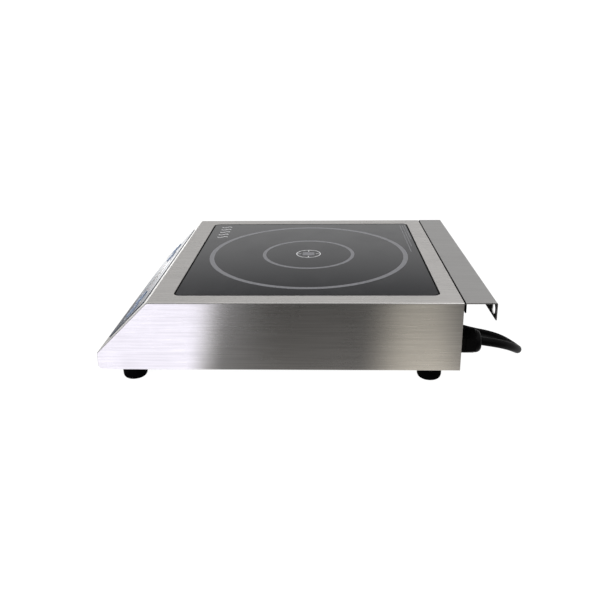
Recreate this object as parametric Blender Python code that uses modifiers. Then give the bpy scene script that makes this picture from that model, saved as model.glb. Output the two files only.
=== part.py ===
"""A countertop induction hob with one cooking zone, in metres, +Z up.

The control slope faces -Y, the wall guard and the mains cord are at +Y, and the feet stand on Z = 0.
The origin is under the middle of the housing, between the nose of the slope and the edge of the guard.
"""

import math

import bmesh
import bpy
from mathutils import Matrix, Vector

# Overall size of the housing and its folded sheet
WIDTH = 0.330
DEPTH = 0.420
HEIGHT = 0.096
FOOT_HEIGHT = 0.019
SHEET = 0.001
GAP = 0.0003
FLOOR_GAP = 0.0001

NOSE_Y = -DEPTH / 2
GUARD_Y = DEPTH / 2
REAR_Y = 0.176
NOSE_TOP = 0.0385
FOLD_Y = -0.1522
NOSE_RADIUS = 0.005
FOLD_RADIUS = 0.003
CORNER_RADIUS = 0.0018
FLANGE = 0.014
OPENING_GAP = 0.0004
SCREW_HOLE = 0.0022

# Glass, its seal and the frame that carries it
GLASS_X = 0.2845
GLASS_Y = 0.2812
GLASS_THICK = 0.004
GLASS_CENTRE_Y = 0.0137
GLASS_RADIUS = 0.006
JOINT_WIDTH = 0.002
LEDGE = 0.010

# Guard behind the rear wall
GUARD_SHEET = 0.0012
GUARD_FRONT_Y = REAR_Y + 0.0012
GUARD_BEND = 0.0015
GUARD_FRONT_DROP = 0.011
GUARD_REAR_DROP = 0.019
GUARD_HOLE_X = 0.154
GUARD_HOLE_DROP = 0.010
GUARD_HOLE_RADIUS = 0.006
GUARD_SCREW_X = 0.100

# Feet
FOOT_X = 0.140
FOOT_FRONT_Y = -0.1777
FOOT_REAR_Y = 0.148
FOOT_RADIUS = 0.0141
FOOT_TAPER = 0.0010
FOOT_ROUND = 0.0045
FOOT_SOLE = 0.0102
FOOT_WELL = 0.0045

# Control panel, measured on the slope from its middle: X across, Y up the slope
OVERLAY_X = 0.290
OVERLAY_Y = 0.060
OVERLAY_THICK = 0.0006
KEY_X = 0.020
KEY_Y = 0.014
KEY_TRAVEL = 0.0008
KEY_PROUD = 0.0012
KEY_PLACES = {"minus": -0.112, "plus": -0.076, "function": 0.080, "power": 0.118}
WINDOW_X = 0.074
WINDOW_Y = 0.026
BOARD_DEPTH = 0.0165
BOARD_THICK = 0.0016

# Induction coil under the glass
COIL_Y = GLASS_CENTRE_Y
COIL_OUTER = 0.105
COIL_INNER = 0.036
COIL_TOP = 0.0890
COIL_THICK = 0.0052
FERRITES = 6

# Fan on the base plate
FAN_X = -0.062
FAN_Y = -0.080
FAN_SIZE = 0.092
FAN_THICK = 0.025
FAN_BLADES = 7
HUB_RADIUS = 0.018

# Cord gland, cord and plug
GLAND_X = 0.135
GLAND_Z = 0.0397
GLAND_CORNERS = 0.0289
GLAND_REACH = 0.0263
GLAND_THREAD = 0.0098
CORD_DIAMETER = 0.0095
CORD_REST = CORD_DIAMETER / 2 + GAP
SPARE_X = -0.246
SPARE_Y = 0.152
SPARE_RADIUS = 0.0525
SPARE_HEIGHT = 0.0190
PLUG_X = SPARE_X - SPARE_RADIUS
PLUG_Y = 0.010
SLEEVE_END = SPARE_Y - 0.080
SLEEVE_Z = 0.0110

BASE_TOP = FOOT_HEIGHT + SHEET + GAP + SHEET
GLASS_BOTTOM = HEIGHT - GLASS_THICK
SLOPE_ANGLE = math.atan2(HEIGHT - NOSE_TOP, FOLD_Y - NOSE_Y)

# Planes in which flat outlines are drawn; each maps an outline's x, y and its thickness
FLAT = Matrix.Identity(4)
SIDE = Matrix(((0, 0, 1, 0), (1, 0, 0, 0), (0, 1, 0, 0), (0, 0, 0, 1)))
UPRIGHT = Matrix(((1, 0, 0, 0), (0, 0, -1, 0), (0, 1, 0, 0), (0, 0, 0, 1)))
SLOPE = Matrix.Translation((0, (NOSE_Y + FOLD_Y) / 2, (NOSE_TOP + HEIGHT) / 2)) @ Matrix.Rotation(
    SLOPE_ANGLE, 4, "X"
)
ALONG_Y = Matrix.Rotation(math.radians(-90), 4, "X")

MATERIALS = {
    "stainless_brushed": ((0.56, 0.55, 0.53), 0.34, 1.0),
    "steel_zinc": ((0.60, 0.61, 0.62), 0.38, 1.0),
    "ceramic_glass": ((0.018, 0.019, 0.021), 0.08, 0.0),
    "silicone_black": ((0.010, 0.010, 0.011), 0.55, 0.0),
    "rubber_black": ((0.012, 0.012, 0.012), 0.70, 0.0),
    "overlay_film": ((0.30, 0.33, 0.38), 0.30, 0.0),
    "window_smoked": ((0.03, 0.04, 0.06), 0.10, 0.0),
    "key_film": ((0.52, 0.62, 0.76), 0.35, 0.0),
    "board_green": ((0.02, 0.16, 0.08), 0.45, 0.0),
    "nylon_black": ((0.015, 0.015, 0.016), 0.45, 0.0),
    "plastic_white": ((0.70, 0.70, 0.68), 0.45, 0.0),
    "litz_copper": ((0.62, 0.29, 0.15), 0.40, 1.0),
    "ferrite_grey": ((0.06, 0.06, 0.065), 0.65, 0.0),
    "mica_tan": ((0.52, 0.45, 0.33), 0.60, 0.0),
    "aluminium": ((0.70, 0.71, 0.72), 0.35, 1.0),
    "capacitor_blue": ((0.05, 0.13, 0.34), 0.35, 0.0),
    "cord_rubber": ((0.012, 0.012, 0.013), 0.55, 0.0),
    "plug_pvc": ((0.014, 0.014, 0.015), 0.40, 0.0),
    "pin_brass": ((0.68, 0.55, 0.30), 0.28, 1.0),
}


# Scene, collections and materials


def clear_scene():
    for obj in list(bpy.data.objects):
        bpy.data.objects.remove(obj, do_unlink=True)


def collection(name):
    made = bpy.data.collections.new(name)
    bpy.context.scene.collection.children.link(made)
    return made


def make_material(name):
    colour, roughness, metallic = MATERIALS[name]
    made = bpy.data.materials.new(name)
    made.use_nodes = True
    shader = made.node_tree.nodes["Principled BSDF"]
    shader.inputs["Base Color"].default_value = (*colour, 1.0)
    shader.inputs["Roughness"].default_value = roughness
    shader.inputs["Metallic"].default_value = metallic
    return made


# Outlines, each a list of (x, y) points


def rounded(corners, radii, steps=4):
    """A closed outline whose corners are arcs of the given radii; a radius of 0 keeps a corner sharp."""
    points = []
    for index, radius in enumerate(radii):
        before, corner, after = (
            Vector(corners[(index + shift) % len(corners)]) for shift in (-1, 0, 1)
        )
        if radius == 0:
            points.append(tuple(corner))
            continue
        back, ahead = (before - corner).normalized(), (after - corner).normalized()
        half = back.angle(ahead) / 2
        centre = corner + (back + ahead).normalized() * radius / math.sin(half)
        start = corner + back * radius / math.tan(half) - centre
        turn = start.angle_signed(corner + ahead * radius / math.tan(half) - centre)
        for step in range(steps + 1):
            spin = Matrix.Rotation(-turn * step / steps, 2)
            points.append(tuple(centre + spin @ start))
    return points


def rectangle(size_x, size_y, centre=(0.0, 0.0), radius=0.0, steps=4):
    x, y = size_x / 2, size_y / 2
    corners = [(centre[0] + a * x, centre[1] + b * y) for a, b in ((1, 1), (-1, 1), (-1, -1), (1, -1))]
    return rounded(corners, [radius] * 4, steps)


def circle(radius, centre=(0.0, 0.0), sides=24, turn=0.0):
    return [
        (
            centre[0] + radius * math.cos(turn + 2 * math.pi * i / sides),
            centre[1] + radius * math.sin(turn + 2 * math.pi * i / sides),
        )
        for i in range(sides)
    ]


def stadium(length, width, centre=(0.0, 0.0), upright=False, steps=2):
    size = (width, length) if upright else (length, width)
    return rectangle(*size, centre, width / 2 * 0.999, steps)


def folded(path, radius, thickness):
    """The outline of a bent strip of sheet, from the line that its left face follows."""
    steps = 4
    face = rounded(path, [0, *[radius] * (len(path) - 2), 0], steps)
    back = rounded(offset(path, thickness), [0, *[radius - thickness] * (len(path) - 2), 0], steps)
    return face + back[::-1]


def offset(path, distance):
    """The open line moved sideways to its right, with mitred corners."""
    lines = [Vector(p) for p in path]
    sides = [(b - a).normalized() for a, b in zip(lines, lines[1:])]
    normals = [Vector((side.y, -side.x)) for side in sides]
    moved = [lines[0] + normals[0] * distance]
    for index in range(1, len(lines) - 1):
        bisector = (normals[index - 1] + normals[index]).normalized()
        moved.append(lines[index] + bisector * distance / bisector.dot(normals[index]))
    moved.append(lines[-1] + normals[-1] * distance)
    return [tuple(p) for p in moved]


# Solids


class Builder:
    """Makes named solids in the object's collection and cutters in another."""

    def __init__(self):
        self.parts = collection("induction_hob")
        self.cutters = collection("cutters")
        self.materials = {name: make_material(name) for name in MATERIALS}

    def add(self, name, data, material, place=FLAT):
        obj = bpy.data.objects.new(name, data)
        obj.matrix_world = place
        if material is None:
            self.cutters.objects.link(obj)
            obj.hide_render = True
            obj.display_type = "WIRE"
        else:
            self.parts.objects.link(obj)
            data.materials.append(self.materials[material])
        return obj

    def outline(self, name, loops, thickness, material, place=FLAT, low=0.0):
        """A flat solid from closed outlines, the later ones being holes, from low to low + thickness."""
        curve = bpy.data.curves.new(name, "CURVE")
        curve.dimensions = "2D"
        curve.fill_mode = "BOTH"
        curve.extrude = thickness / 2
        for loop in loops:
            spline = curve.splines.new("POLY")
            spline.points.add(len(loop) - 1)
            for point, (x, y) in zip(spline.points, loop):
                point.co = (x, y, 0, 1)
            spline.use_cyclic_u = True
        flat = bpy.data.objects.new(name, curve)
        bpy.context.scene.collection.objects.link(flat)
        graph = bpy.context.evaluated_depsgraph_get()
        mesh = bpy.data.meshes.new_from_object(flat.evaluated_get(graph))
        bpy.data.objects.remove(flat, do_unlink=True)
        bpy.data.curves.remove(curve)
        tidy = bmesh.new()
        tidy.from_mesh(mesh)
        bmesh.ops.remove_doubles(tidy, verts=tidy.verts, dist=1e-6)
        bmesh.ops.dissolve_limit(tidy, angle_limit=0.001, verts=tidy.verts, edges=tidy.edges)
        bmesh.ops.recalc_face_normals(tidy, faces=tidy.faces)
        tidy.to_mesh(mesh)
        tidy.free()
        mesh.name = name
        mesh.materials.clear()
        return self.add(name, mesh, material, place @ Matrix.Translation((0, 0, low + thickness / 2)))

    def box(self, name, size, centre, material, place=FLAT, bevel=0.0):
        mesh = bpy.data.meshes.new(name)
        cube = bmesh.new()
        bmesh.ops.create_cube(cube, size=1.0, matrix=Matrix.Diagonal((*size, 1.0)))
        cube.to_mesh(mesh)
        cube.free()
        obj = self.add(name, mesh, material, place @ Matrix.Translation(centre))
        return bevelled(obj, bevel, 2) if bevel else obj

    def cylinder(self, name, radius, depth, centre, material, place=FLAT, sides=32, tip=None):
        mesh = bpy.data.meshes.new(name)
        barrel = bmesh.new()
        bmesh.ops.create_cone(
            barrel,
            cap_ends=True,
            segments=sides,
            radius1=radius,
            radius2=radius if tip is None else tip,
            depth=depth,
        )
        barrel.to_mesh(mesh)
        barrel.free()
        return self.add(name, mesh, material, place @ Matrix.Translation(centre))

    def turned(self, name, profile, material, place=FLAT, sides=32, closed=False):
        """A solid of revolution about Z. The profile's outer side runs from top to bottom."""
        mesh = bpy.data.meshes.new(name)
        count = len(profile)
        edges = [(i, i + 1) for i in range(count - 1)] + ([(count - 1, 0)] if closed else [])
        mesh.from_pydata([(x, 0, z) for x, z in profile], edges, [])
        obj = self.add(name, mesh, material, place)
        screw = obj.modifiers.new("turn", "SCREW")
        screw.steps = screw.render_steps = sides
        screw.use_merge_vertices = True
        screw.merge_threshold = 1e-6
        return obj

    def tube(self, name, points, radius, material):
        curve = bpy.data.curves.new(name, "CURVE")
        curve.dimensions = "3D"
        curve.bevel_depth = radius
        curve.bevel_resolution = 2
        curve.use_fill_caps = True
        spline = curve.splines.new("POLY")
        spline.points.add(len(points) - 1)
        for point, place in zip(spline.points, points):
            point.co = (*place, 1)
        return self.add(name, curve, material)


def bevelled(obj, width, segments):
    bevel = obj.modifiers.new("bevel", "BEVEL")
    bevel.width = width
    bevel.segments = segments
    bevel.limit_method = "ANGLE"
    bevel.angle_limit = math.radians(40)
    return obj


def boolean(obj, other, operation="DIFFERENCE"):
    step = obj.modifiers.new(other.name, "BOOLEAN")
    step.operation = operation
    step.solver = "EXACT"
    step.object = other
    return obj


def smooth(obj, angle=35):
    obj.data.shade_smooth()
    obj.data.set_sharp_from_angle(angle=math.radians(angle))
    return obj


def spun(angle, radius=0.0, centre=(0.0, 0.0), height=0.0):
    """The place of something at a radius and an angle round a vertical axis, turned with it."""
    return (
        Matrix.Translation((*centre, height))
        @ Matrix.Rotation(angle, 4, "Z")
        @ Matrix.Translation((radius, 0, 0))
    )


# Housing


def housing_outline():
    corners = [
        (REAR_Y, FOOT_HEIGHT),
        (REAR_Y, HEIGHT),
        (FOLD_Y, HEIGHT),
        (NOSE_Y, NOSE_TOP),
        (NOSE_Y, FOOT_HEIGHT),
    ]
    return rounded(corners, [0, 0, FOLD_RADIUS, NOSE_RADIUS, NOSE_RADIUS])


def control_openings(build, obj, clearance, name):
    """Cuts the display window and the keys through a sheet that lies on the slope."""
    depth = 0.006
    window = rectangle(WINDOW_X + 2 * clearance, WINDOW_Y + 2 * clearance, (0, 0), 0.002)
    places = [(f"{name}_window", window)]
    for key, x in KEY_PLACES.items():
        hole = rectangle(KEY_X + 2 * clearance, KEY_Y + 2 * clearance, (x, 0), 0.003)
        places.append((f"{name}_{key}", hole))
    for label, loop in places:
        cutter = build.outline(f"cut_{label}", [loop], depth, None, SLOPE, -depth / 2)
        boolean(obj, cutter)


def casing(build):
    """Top, control slope, nose and sides, folded from one sheet, with a flange turned in below."""
    obj = build.outline("casing", [housing_outline()], WIDTH, "stainless_brushed", SIDE, -WIDTH / 2)
    shell = bmesh.new()
    shell.from_mesh(obj.data)
    rear = [f for f in shell.faces if (SIDE.to_3x3() @ f.normal).y > 0.99]
    bmesh.ops.delete(shell, geom=rear, context="FACES_ONLY")
    shell.to_mesh(obj.data)
    shell.free()
    bevelled(obj, CORNER_RADIUS, 3)
    solidify = obj.modifiers.new("sheet", "SOLIDIFY")
    solidify.thickness = SHEET
    solidify.offset = -1
    solidify.use_even_offset = True

    cut_out = rectangle(
        GLASS_X + 2 * JOINT_WIDTH,
        GLASS_Y + 2 * JOINT_WIDTH,
        (0, GLASS_CENTRE_Y),
        GLASS_RADIUS + JOINT_WIDTH,
    )
    boolean(obj, build.outline("cut_glass", [cut_out], 0.01, None, FLAT, HEIGHT - 0.005))
    front, rear_end = NOSE_Y + FLANGE, REAR_Y + 0.01
    opening = rectangle(WIDTH - 2 * FLANGE, rear_end - front, (0, (front + rear_end) / 2))
    boolean(obj, build.outline("cut_bottom", [opening], 0.01, None, FLAT, FOOT_HEIGHT - 0.006))
    control_openings(build, obj, OPENING_GAP, "casing")
    return smooth(obj)


def slots(count, pitch, length, width, centre, upright=True):
    """A row of slots, side by side."""
    first = -(count - 1) * pitch / 2
    return [
        stadium(length, width, (centre[0] + first + i * pitch, centre[1]), upright) for i in range(count)
    ]


def rear_panel(build):
    """Rear wall between the sides, with exhaust slots, the gland's hole and the guard's screw holes."""
    low, high = BASE_TOP + GAP, HEIGHT - SHEET - GAP
    outer = rectangle(WIDTH - 2 * SHEET - 2 * GAP, high - low, (0, (low + high) / 2))
    holes = [circle(GLAND_THREAD + 0.0005, (GLAND_X, GLAND_Z), 24)]
    holes += [circle(SCREW_HOLE, (side * GUARD_SCREW_X, guard_screw_z()), 12) for side in (-1, 1)]
    holes += slots(14, 0.0105, 0.034, 0.0045, (-0.055, 0.056))
    return build.outline("rear_panel", [outer, *holes], SHEET, "stainless_brushed", UPRIGHT, GAP - REAR_Y)


def base_plate(build):
    """Bottom sheet on the casing's flange, with the fan's intake and holes for the foot screws."""
    front, rear = NOSE_Y + 0.0065, REAR_Y - 0.0018
    outer = rectangle(WIDTH - 2 * SHEET - 0.002, rear - front, (0, (front + rear) / 2))
    holes = [circle(SCREW_HOLE, (x, y), 12) for x, y in foot_places().values()]
    rows, pitch = 7, 0.0115
    for row in range(rows):
        y = FAN_Y + (row - (rows - 1) / 2) * pitch
        half = math.sqrt((FAN_SIZE / 2 - 0.004) ** 2 - (y - FAN_Y) ** 2)
        for side in (-1, 1):
            length = half - 0.004
            holes.append(stadium(length, 0.005, (FAN_X + side * (0.004 + length / 2), y)))
    low = FOOT_HEIGHT + SHEET + GAP
    return build.outline("base_plate", [outer, *holes], SHEET, "steel_zinc", FLAT, low)


def guard_screw_z():
    return HEIGHT - GUARD_FRONT_DROP / 2 - 0.001


def rear_guard(build):
    """Folded spacer behind the top: a strip level with it, a screwed front leg and a rear leg with holes."""
    path = [
        (GUARD_Y, HEIGHT - GUARD_REAR_DROP),
        (GUARD_Y, HEIGHT),
        (GUARD_FRONT_Y, HEIGHT),
        (GUARD_FRONT_Y, HEIGHT - GUARD_FRONT_DROP),
    ]
    outline = folded(path[::-1], GUARD_BEND, GUARD_SHEET)
    obj = build.outline("rear_guard", [outline], WIDTH, "stainless_brushed", SIDE, -WIDTH / 2)
    hole_z = HEIGHT - GUARD_HOLE_DROP
    for index, side in enumerate((-1, 1)):
        hole = circle(GUARD_HOLE_RADIUS, (side * GUARD_HOLE_X, hole_z), 20)
        boolean(obj, build.outline(f"cut_guard_{index}", [hole], 0.01, None, UPRIGHT, -GUARD_Y - 0.005))
        screw = circle(SCREW_HOLE, (side * GUARD_SCREW_X, guard_screw_z()), 12)
        place = -GUARD_FRONT_Y - 0.005
        boolean(obj, build.outline(f"cut_screw_{index}", [screw], 0.01, None, UPRIGHT, place))
    return obj


def guard_screws(build):
    """Pan-head screws through the guard's front leg into the rear wall."""
    head_y = GUARD_FRONT_Y + GUARD_SHEET + GAP
    profile = [
        (0, 0.0026),
        (0.0024, 0.0022),
        (0.0036, 0.0010),
        (0.0036, 0),
        (0.0018, 0),
        (0.0018, -0.0065),
        (0, -0.0075),
    ]
    for label, side in (("left", -1), ("right", 1)):
        place = Matrix.Translation((side * GUARD_SCREW_X, head_y, guard_screw_z())) @ ALONG_Y
        smooth(build.turned(f"guard_screw_{label}", profile, "steel_zinc", place, 16))


def foot_places():
    return {
        f"{end}_{side}": (x, y)
        for end, y in (("front", FOOT_FRONT_Y), ("rear", FOOT_REAR_Y))
        for side, x in (("left", -FOOT_X), ("right", FOOT_X))
    }


def feet(build):
    """Round rubber feet, a little tapered and rounded at the sole, hollow where the screw goes in."""
    top, low_radius = FOOT_HEIGHT - GAP, FOOT_RADIUS - FOOT_TAPER
    profile = [(FOOT_WELL, top), (FOOT_RADIUS, top)]
    steps = 4
    for step in range(steps + 1):
        angle = math.pi / 2 * step / steps
        x = FOOT_SOLE + (low_radius - FOOT_SOLE) * math.cos(angle)
        profile.append((x, FOOT_ROUND * (1 - math.sin(angle))))
    profile.append((FOOT_WELL, 0.0))
    for label, (x, y) in foot_places().items():
        place = Matrix.Translation((x, y, 0))
        smooth(build.turned(f"foot_{label}", profile, "rubber_black", place, 20, closed=True), 60)


# Glass


def glass(build):
    loop = rectangle(GLASS_X, GLASS_Y, (0, GLASS_CENTRE_Y), GLASS_RADIUS, 5)
    return build.outline("glass_plate", [loop], GLASS_THICK, "ceramic_glass", FLAT, GLASS_BOTTOM)


def glass_seal(build):
    """Silicone round the glass and under its edge."""
    low, high = GLASS_BOTTOM - 0.0008, HEIGHT - GAP
    reach = 2 * (JOINT_WIDTH - GAP)
    centre = (0, GLASS_CENTRE_Y)
    outer = rectangle(GLASS_X + reach, GLASS_Y + reach, centre, GLASS_RADIUS + JOINT_WIDTH - GAP, 5)
    inner = rectangle(GLASS_X - 0.014, GLASS_Y - 0.014, centre)
    obj = build.outline("glass_seal", [outer, inner], high - low, "silicone_black", FLAT, low)
    seat = rectangle(GLASS_X + 2 * GAP, GLASS_Y + 2 * GAP, centre, GLASS_RADIUS + GAP, 5)
    return boolean(obj, build.outline("cut_seat", [seat], 0.01, None, FLAT, GLASS_BOTTOM - GAP))


def glass_support(build):
    """Steel frame under the top, with a ledge for the glass."""
    high, ledge, low = HEIGHT - SHEET - GAP, GLASS_BOTTOM - 0.0011, GLASS_BOTTOM - 0.0025
    centre = (0, GLASS_CENTRE_Y)
    outer = rectangle(GLASS_X + 0.022, GLASS_Y + 0.022, centre)
    inner = rectangle(GLASS_X - 2 * LEDGE, GLASS_Y - 2 * LEDGE, centre)
    obj = build.outline("glass_support", [outer, inner], high - low, "steel_zinc", FLAT, low)
    pocket = rectangle(GLASS_X + 2 * JOINT_WIDTH, GLASS_Y + 2 * JOINT_WIDTH, centre)
    return boolean(obj, build.outline("cut_pocket", [pocket], 0.01, None, FLAT, ledge))


# Control panel on the slope


def overlay(build):
    loop = rectangle(OVERLAY_X, OVERLAY_Y, (0, 0), 0.004)
    obj = build.outline("control_overlay", [loop], OVERLAY_THICK, "overlay_film", SLOPE, GAP)
    control_openings(build, obj, OPENING_GAP, "overlay")
    return obj


def display_window(build):
    """Lens that fills the window in the overlay and the sheet, with a rim behind the sheet."""
    top = GAP + OVERLAY_THICK
    rim_top, rim_low = -SHEET - GAP, -SHEET - GAP - 0.0012
    lens = rectangle(WINDOW_X, WINDOW_Y, (0, 0), 0.002)
    rim = rectangle(WINDOW_X + 0.006, WINDOW_Y + 0.006, (0, 0), 0.002)
    obj = build.outline("display_window", [lens], top - rim_low, "window_smoked", SLOPE, rim_low)
    extra = build.outline("join_rim", [rim], rim_top - rim_low, None, SLOPE, rim_low)
    return boolean(obj, extra, "UNION")


def keys(build):
    """Push keys that rise through the overlay, each with a rim behind the sheet and a stem to its switch."""
    top = GAP + OVERLAY_THICK + KEY_PROUD
    rim_top, rim_low, stem_low = -SHEET - GAP, -SHEET - GAP - 0.0012, -0.0095
    for label, x in KEY_PLACES.items():
        cap = rectangle(KEY_X, KEY_Y, (0, 0), 0.003)
        rim = rectangle(KEY_X + 0.004, KEY_Y + 0.004, (0, 0), 0.003)
        place = SLOPE @ Matrix.Translation((x, 0, 0))
        obj = build.outline(f"key_{label}", [cap], top - rim_low, "key_film", place, rim_low)
        lower = build.outline(f"join_key_rim_{label}", [rim], rim_top - rim_low, None, place, rim_low)
        boolean(obj, lower, "UNION")
        stem_length = rim_low - stem_low + 0.0004
        stem = build.cylinder(
            f"join_key_stem_{label}", 0.002, stem_length, (0, 0, stem_low + stem_length / 2), None, place, 12
        )
        boolean(obj, stem, "UNION")
        switch_top = stem_low - KEY_TRAVEL - GAP
        switch_low = -BOARD_DEPTH + BOARD_THICK + GAP
        build.box(
            f"switch_{label}",
            (0.006, 0.006, switch_top - switch_low),
            (x, 0, (switch_top + switch_low) / 2),
            "nylon_black",
            SLOPE,
        )


def control_board(build):
    loop = rectangle(0.262, 0.044, (0, 0), 0.002, 2)
    holes = [circle(0.0017, (side * 0.126, y), 10) for side in (-1, 1) for y in (-0.017, 0.017)]
    build.outline("control_board", [loop, *holes], BOARD_THICK, "board_green", SLOPE, -BOARD_DEPTH)
    low, high = -BOARD_DEPTH + BOARD_THICK + GAP, -SHEET - 0.0018 - GAP
    size = (WINDOW_X - 0.010, WINDOW_Y - 0.006, high - low)
    build.box("display_module", size, (0, 0, (low + high) / 2), "nylon_black", SLOPE)


# Induction coil


def coil(build):
    """Wound coil on its former, with the ferrite bars below it and a mica sheet on top."""
    centre = Matrix.Translation((0, COIL_Y, 0))
    low, sheet_radius, eye_radius, former_thick = COIL_TOP - COIL_THICK, 0.112, 0.012, 0.0030
    ring = [(COIL_OUTER, COIL_TOP), (COIL_OUTER, low), (COIL_INNER, low), (COIL_INNER, COIL_TOP)]
    smooth(build.turned("work_coil", ring, "litz_copper", centre, 48, closed=True))
    mica_low = COIL_TOP + GAP
    loops = [circle(sheet_radius, (0, COIL_Y), 40), circle(eye_radius, (0, COIL_Y), 16)]
    build.outline("mica_sheet", loops, 0.0005, "mica_tan", FLAT, mica_low)

    former_low = low - GAP - former_thick
    build.outline("coil_former", loops, former_thick, "plastic_white", FLAT, former_low)
    bar, bar_radius, ferrite_top = (0.060, 0.014, 0.005), 0.068, former_low - GAP
    for index in range(FERRITES):
        angle = 2 * math.pi * (index + 0.5) / FERRITES
        place = spun(angle, bar_radius, (0, COIL_Y), ferrite_top - bar[2] / 2)
        build.box(f"ferrite_bar_{index + 1}", bar, (0, 0, 0), "ferrite_grey", place)
    return ferrite_top - bar[2] - GAP


def coil_bracket(build, top):
    """Aluminium bridge that carries the coil, with two legs down to the base plate."""
    foot, leg_x = BASE_TOP + GAP, 0.128
    path = [(-leg_x, foot), (-leg_x, top), (leg_x, top), (leg_x, foot)]
    outline = folded(path, 0.003, 0.0015)
    obj = build.outline("coil_bracket", [outline], 0.150, "aluminium", UPRIGHT, -COIL_Y - 0.075)
    hole = build.cylinder("cut_bracket", 0.014, 0.02, (0, COIL_Y, top), None, FLAT, 24)
    return boolean(obj, hole)


def thermistor(build, top):
    """Temperature sensor in its holder, up through the coil's middle to the glass."""
    high = GLASS_BOTTOM - GAP
    head = high - 0.0045
    profile = [
        (0, high),
        (0.0048, high - 0.0006),
        (0.0052, head),
        (0.0080, head - 0.0020),
        (0.0080, top + GAP + 0.001),
        (0, top + GAP + 0.001),
    ]
    place = Matrix.Translation((0, COIL_Y, 0))
    smooth(build.turned("thermistor", profile, "plastic_white", place, 20))


# Power electronics on the base plate


def electronics(build):
    low = BASE_TOP + 0.0060
    high = low + BOARD_THICK
    holes = [circle(0.0017, (x, y), 10) for x in (-0.112, 0.098) for y in (-0.016, 0.150)]
    loop = rectangle(0.222, 0.178, (-0.007, 0.067), 0.002, 2)
    build.outline("power_board", [loop, *holes], BOARD_THICK, "board_green", FLAT, low)

    on_board = high + GAP
    sink_x, sink_y, sink_width, sink_length, sink_high = -0.075, 0.070, 0.062, 0.120, 0.034
    fins, web, fin = 9, 0.005, 0.0018
    comb = [(0, 0), (sink_width, 0)]
    for index in reversed(range(fins)):
        right = fin + index * (sink_width - fin) / (fins - 1)
        comb += [(right, web), (right, sink_high), (right - fin, sink_high), (right - fin, web)]
    comb = [comb[0], comb[1], *comb[3:-1]]
    place = Matrix.Translation((sink_x - sink_width / 2, sink_y + sink_length / 2, on_board)) @ UPRIGHT
    build.outline("heat_sink", [comb], sink_length, "aluminium", place)

    case = 0.005
    beside = sink_x + sink_width / 2 + GAP + case / 2
    components = {
        "power_transistor": ((case, 0.016, 0.021), (beside, 0.045), "nylon_black", 0.0),
        "bridge_rectifier": ((case, 0.030, 0.018), (beside, 0.095), "nylon_black", 0.0),
        "filter_capacitor": ((0.032, 0.018, 0.026), (0.020, 0.030), "capacitor_blue", 0.001),
        "resonant_capacitor": ((0.042, 0.020, 0.030), (0.070, 0.030), "capacitor_blue", 0.001),
    }
    for name, (size, (x, y), material, edge) in components.items():
        build.box(name, size, (x, y, on_board + size[2] / 2), material, FLAT, edge)

    ring, thick = 0.014, 0.0065
    profile = [
        (ring + thick * math.cos(a), thick * math.sin(a))
        for a in (math.pi / 2 - 2 * math.pi * i / 8 for i in range(8))
    ]
    place = Matrix.Translation((0.020, 0.090, on_board + thick))
    smooth(build.turned("filter_choke", profile, "litz_copper", place, 20, closed=True), 60)

    size, (x, y), pitch = (0.030, 0.018, 0.016), (0.070, 0.118), 0.010
    block = build.box("terminal_block", size, (x, y, on_board + size[2] / 2), "plastic_white")
    for index in (-1, 0, 1):
        place = (x + index * pitch, y, on_board + size[2] - 0.001)
        boolean(block, build.cylinder(f"cut_terminal_{index + 1}", 0.003, 0.010, place, None, FLAT, 12))


def fan(build):
    """Axial fan over the intake: a square frame with struts, and a bladed rotor on the fan's axis."""
    low = BASE_TOP + GAP
    place = Matrix.Translation((FAN_X, FAN_Y, low))
    bore = FAN_SIZE / 2 - 0.002
    corner = FAN_SIZE / 2 - 0.005
    loops = [rectangle(FAN_SIZE, FAN_SIZE, (0, 0), 0.004, 2), circle(bore, sides=40)]
    loops += [circle(0.0021, (a * corner, b * corner), 10) for a in (-1, 1) for b in (-1, 1)]
    frame = build.outline("fan_frame", loops, FAN_THICK, "nylon_black", place)
    for index in range(4):
        angle = math.pi / 4 + index * math.pi / 2
        length = bore - HUB_RADIUS + 0.006
        strut = build.box(
            f"join_strut_{index}",
            (length, 0.004, 0.0025),
            ((bore + HUB_RADIUS) / 2, 0, 0.00135),
            None,
            place @ Matrix.Rotation(angle, 4, "Z"),
        )
        boolean(frame, strut, "UNION")
    hub = build.cylinder("join_hub", HUB_RADIUS, 0.004, (0, 0, 0.0021), None, place, 28)
    boolean(frame, hub, "UNION")

    rotor_low, rotor_high = 0.0048, 0.0235
    height = rotor_high - rotor_low
    profile = [
        (0, height),
        (HUB_RADIUS - 0.001, height),
        (HUB_RADIUS, height - 0.001),
        (HUB_RADIUS, 0),
        (0, 0),
    ]
    axis = place @ Matrix.Translation((0, 0, rotor_low))
    rotor = build.turned("fan_rotor", profile, "nylon_black", axis, 28)
    reach = bore - 0.0015
    length = reach - HUB_RADIUS + 0.003
    for index in range(FAN_BLADES):
        blade = build.box(
            f"join_blade_{index}",
            (length, 0.021, 0.0014),
            (0, 0, 0),
            None,
            axis
            @ Matrix.Rotation(2 * math.pi * index / FAN_BLADES, 4, "Z")
            @ Matrix.Translation((reach - length / 2 - 0.0006, 0, height / 2))
            @ Matrix.Rotation(math.radians(38), 4, "X"),
        )
        boolean(rotor, blade, "UNION")


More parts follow.
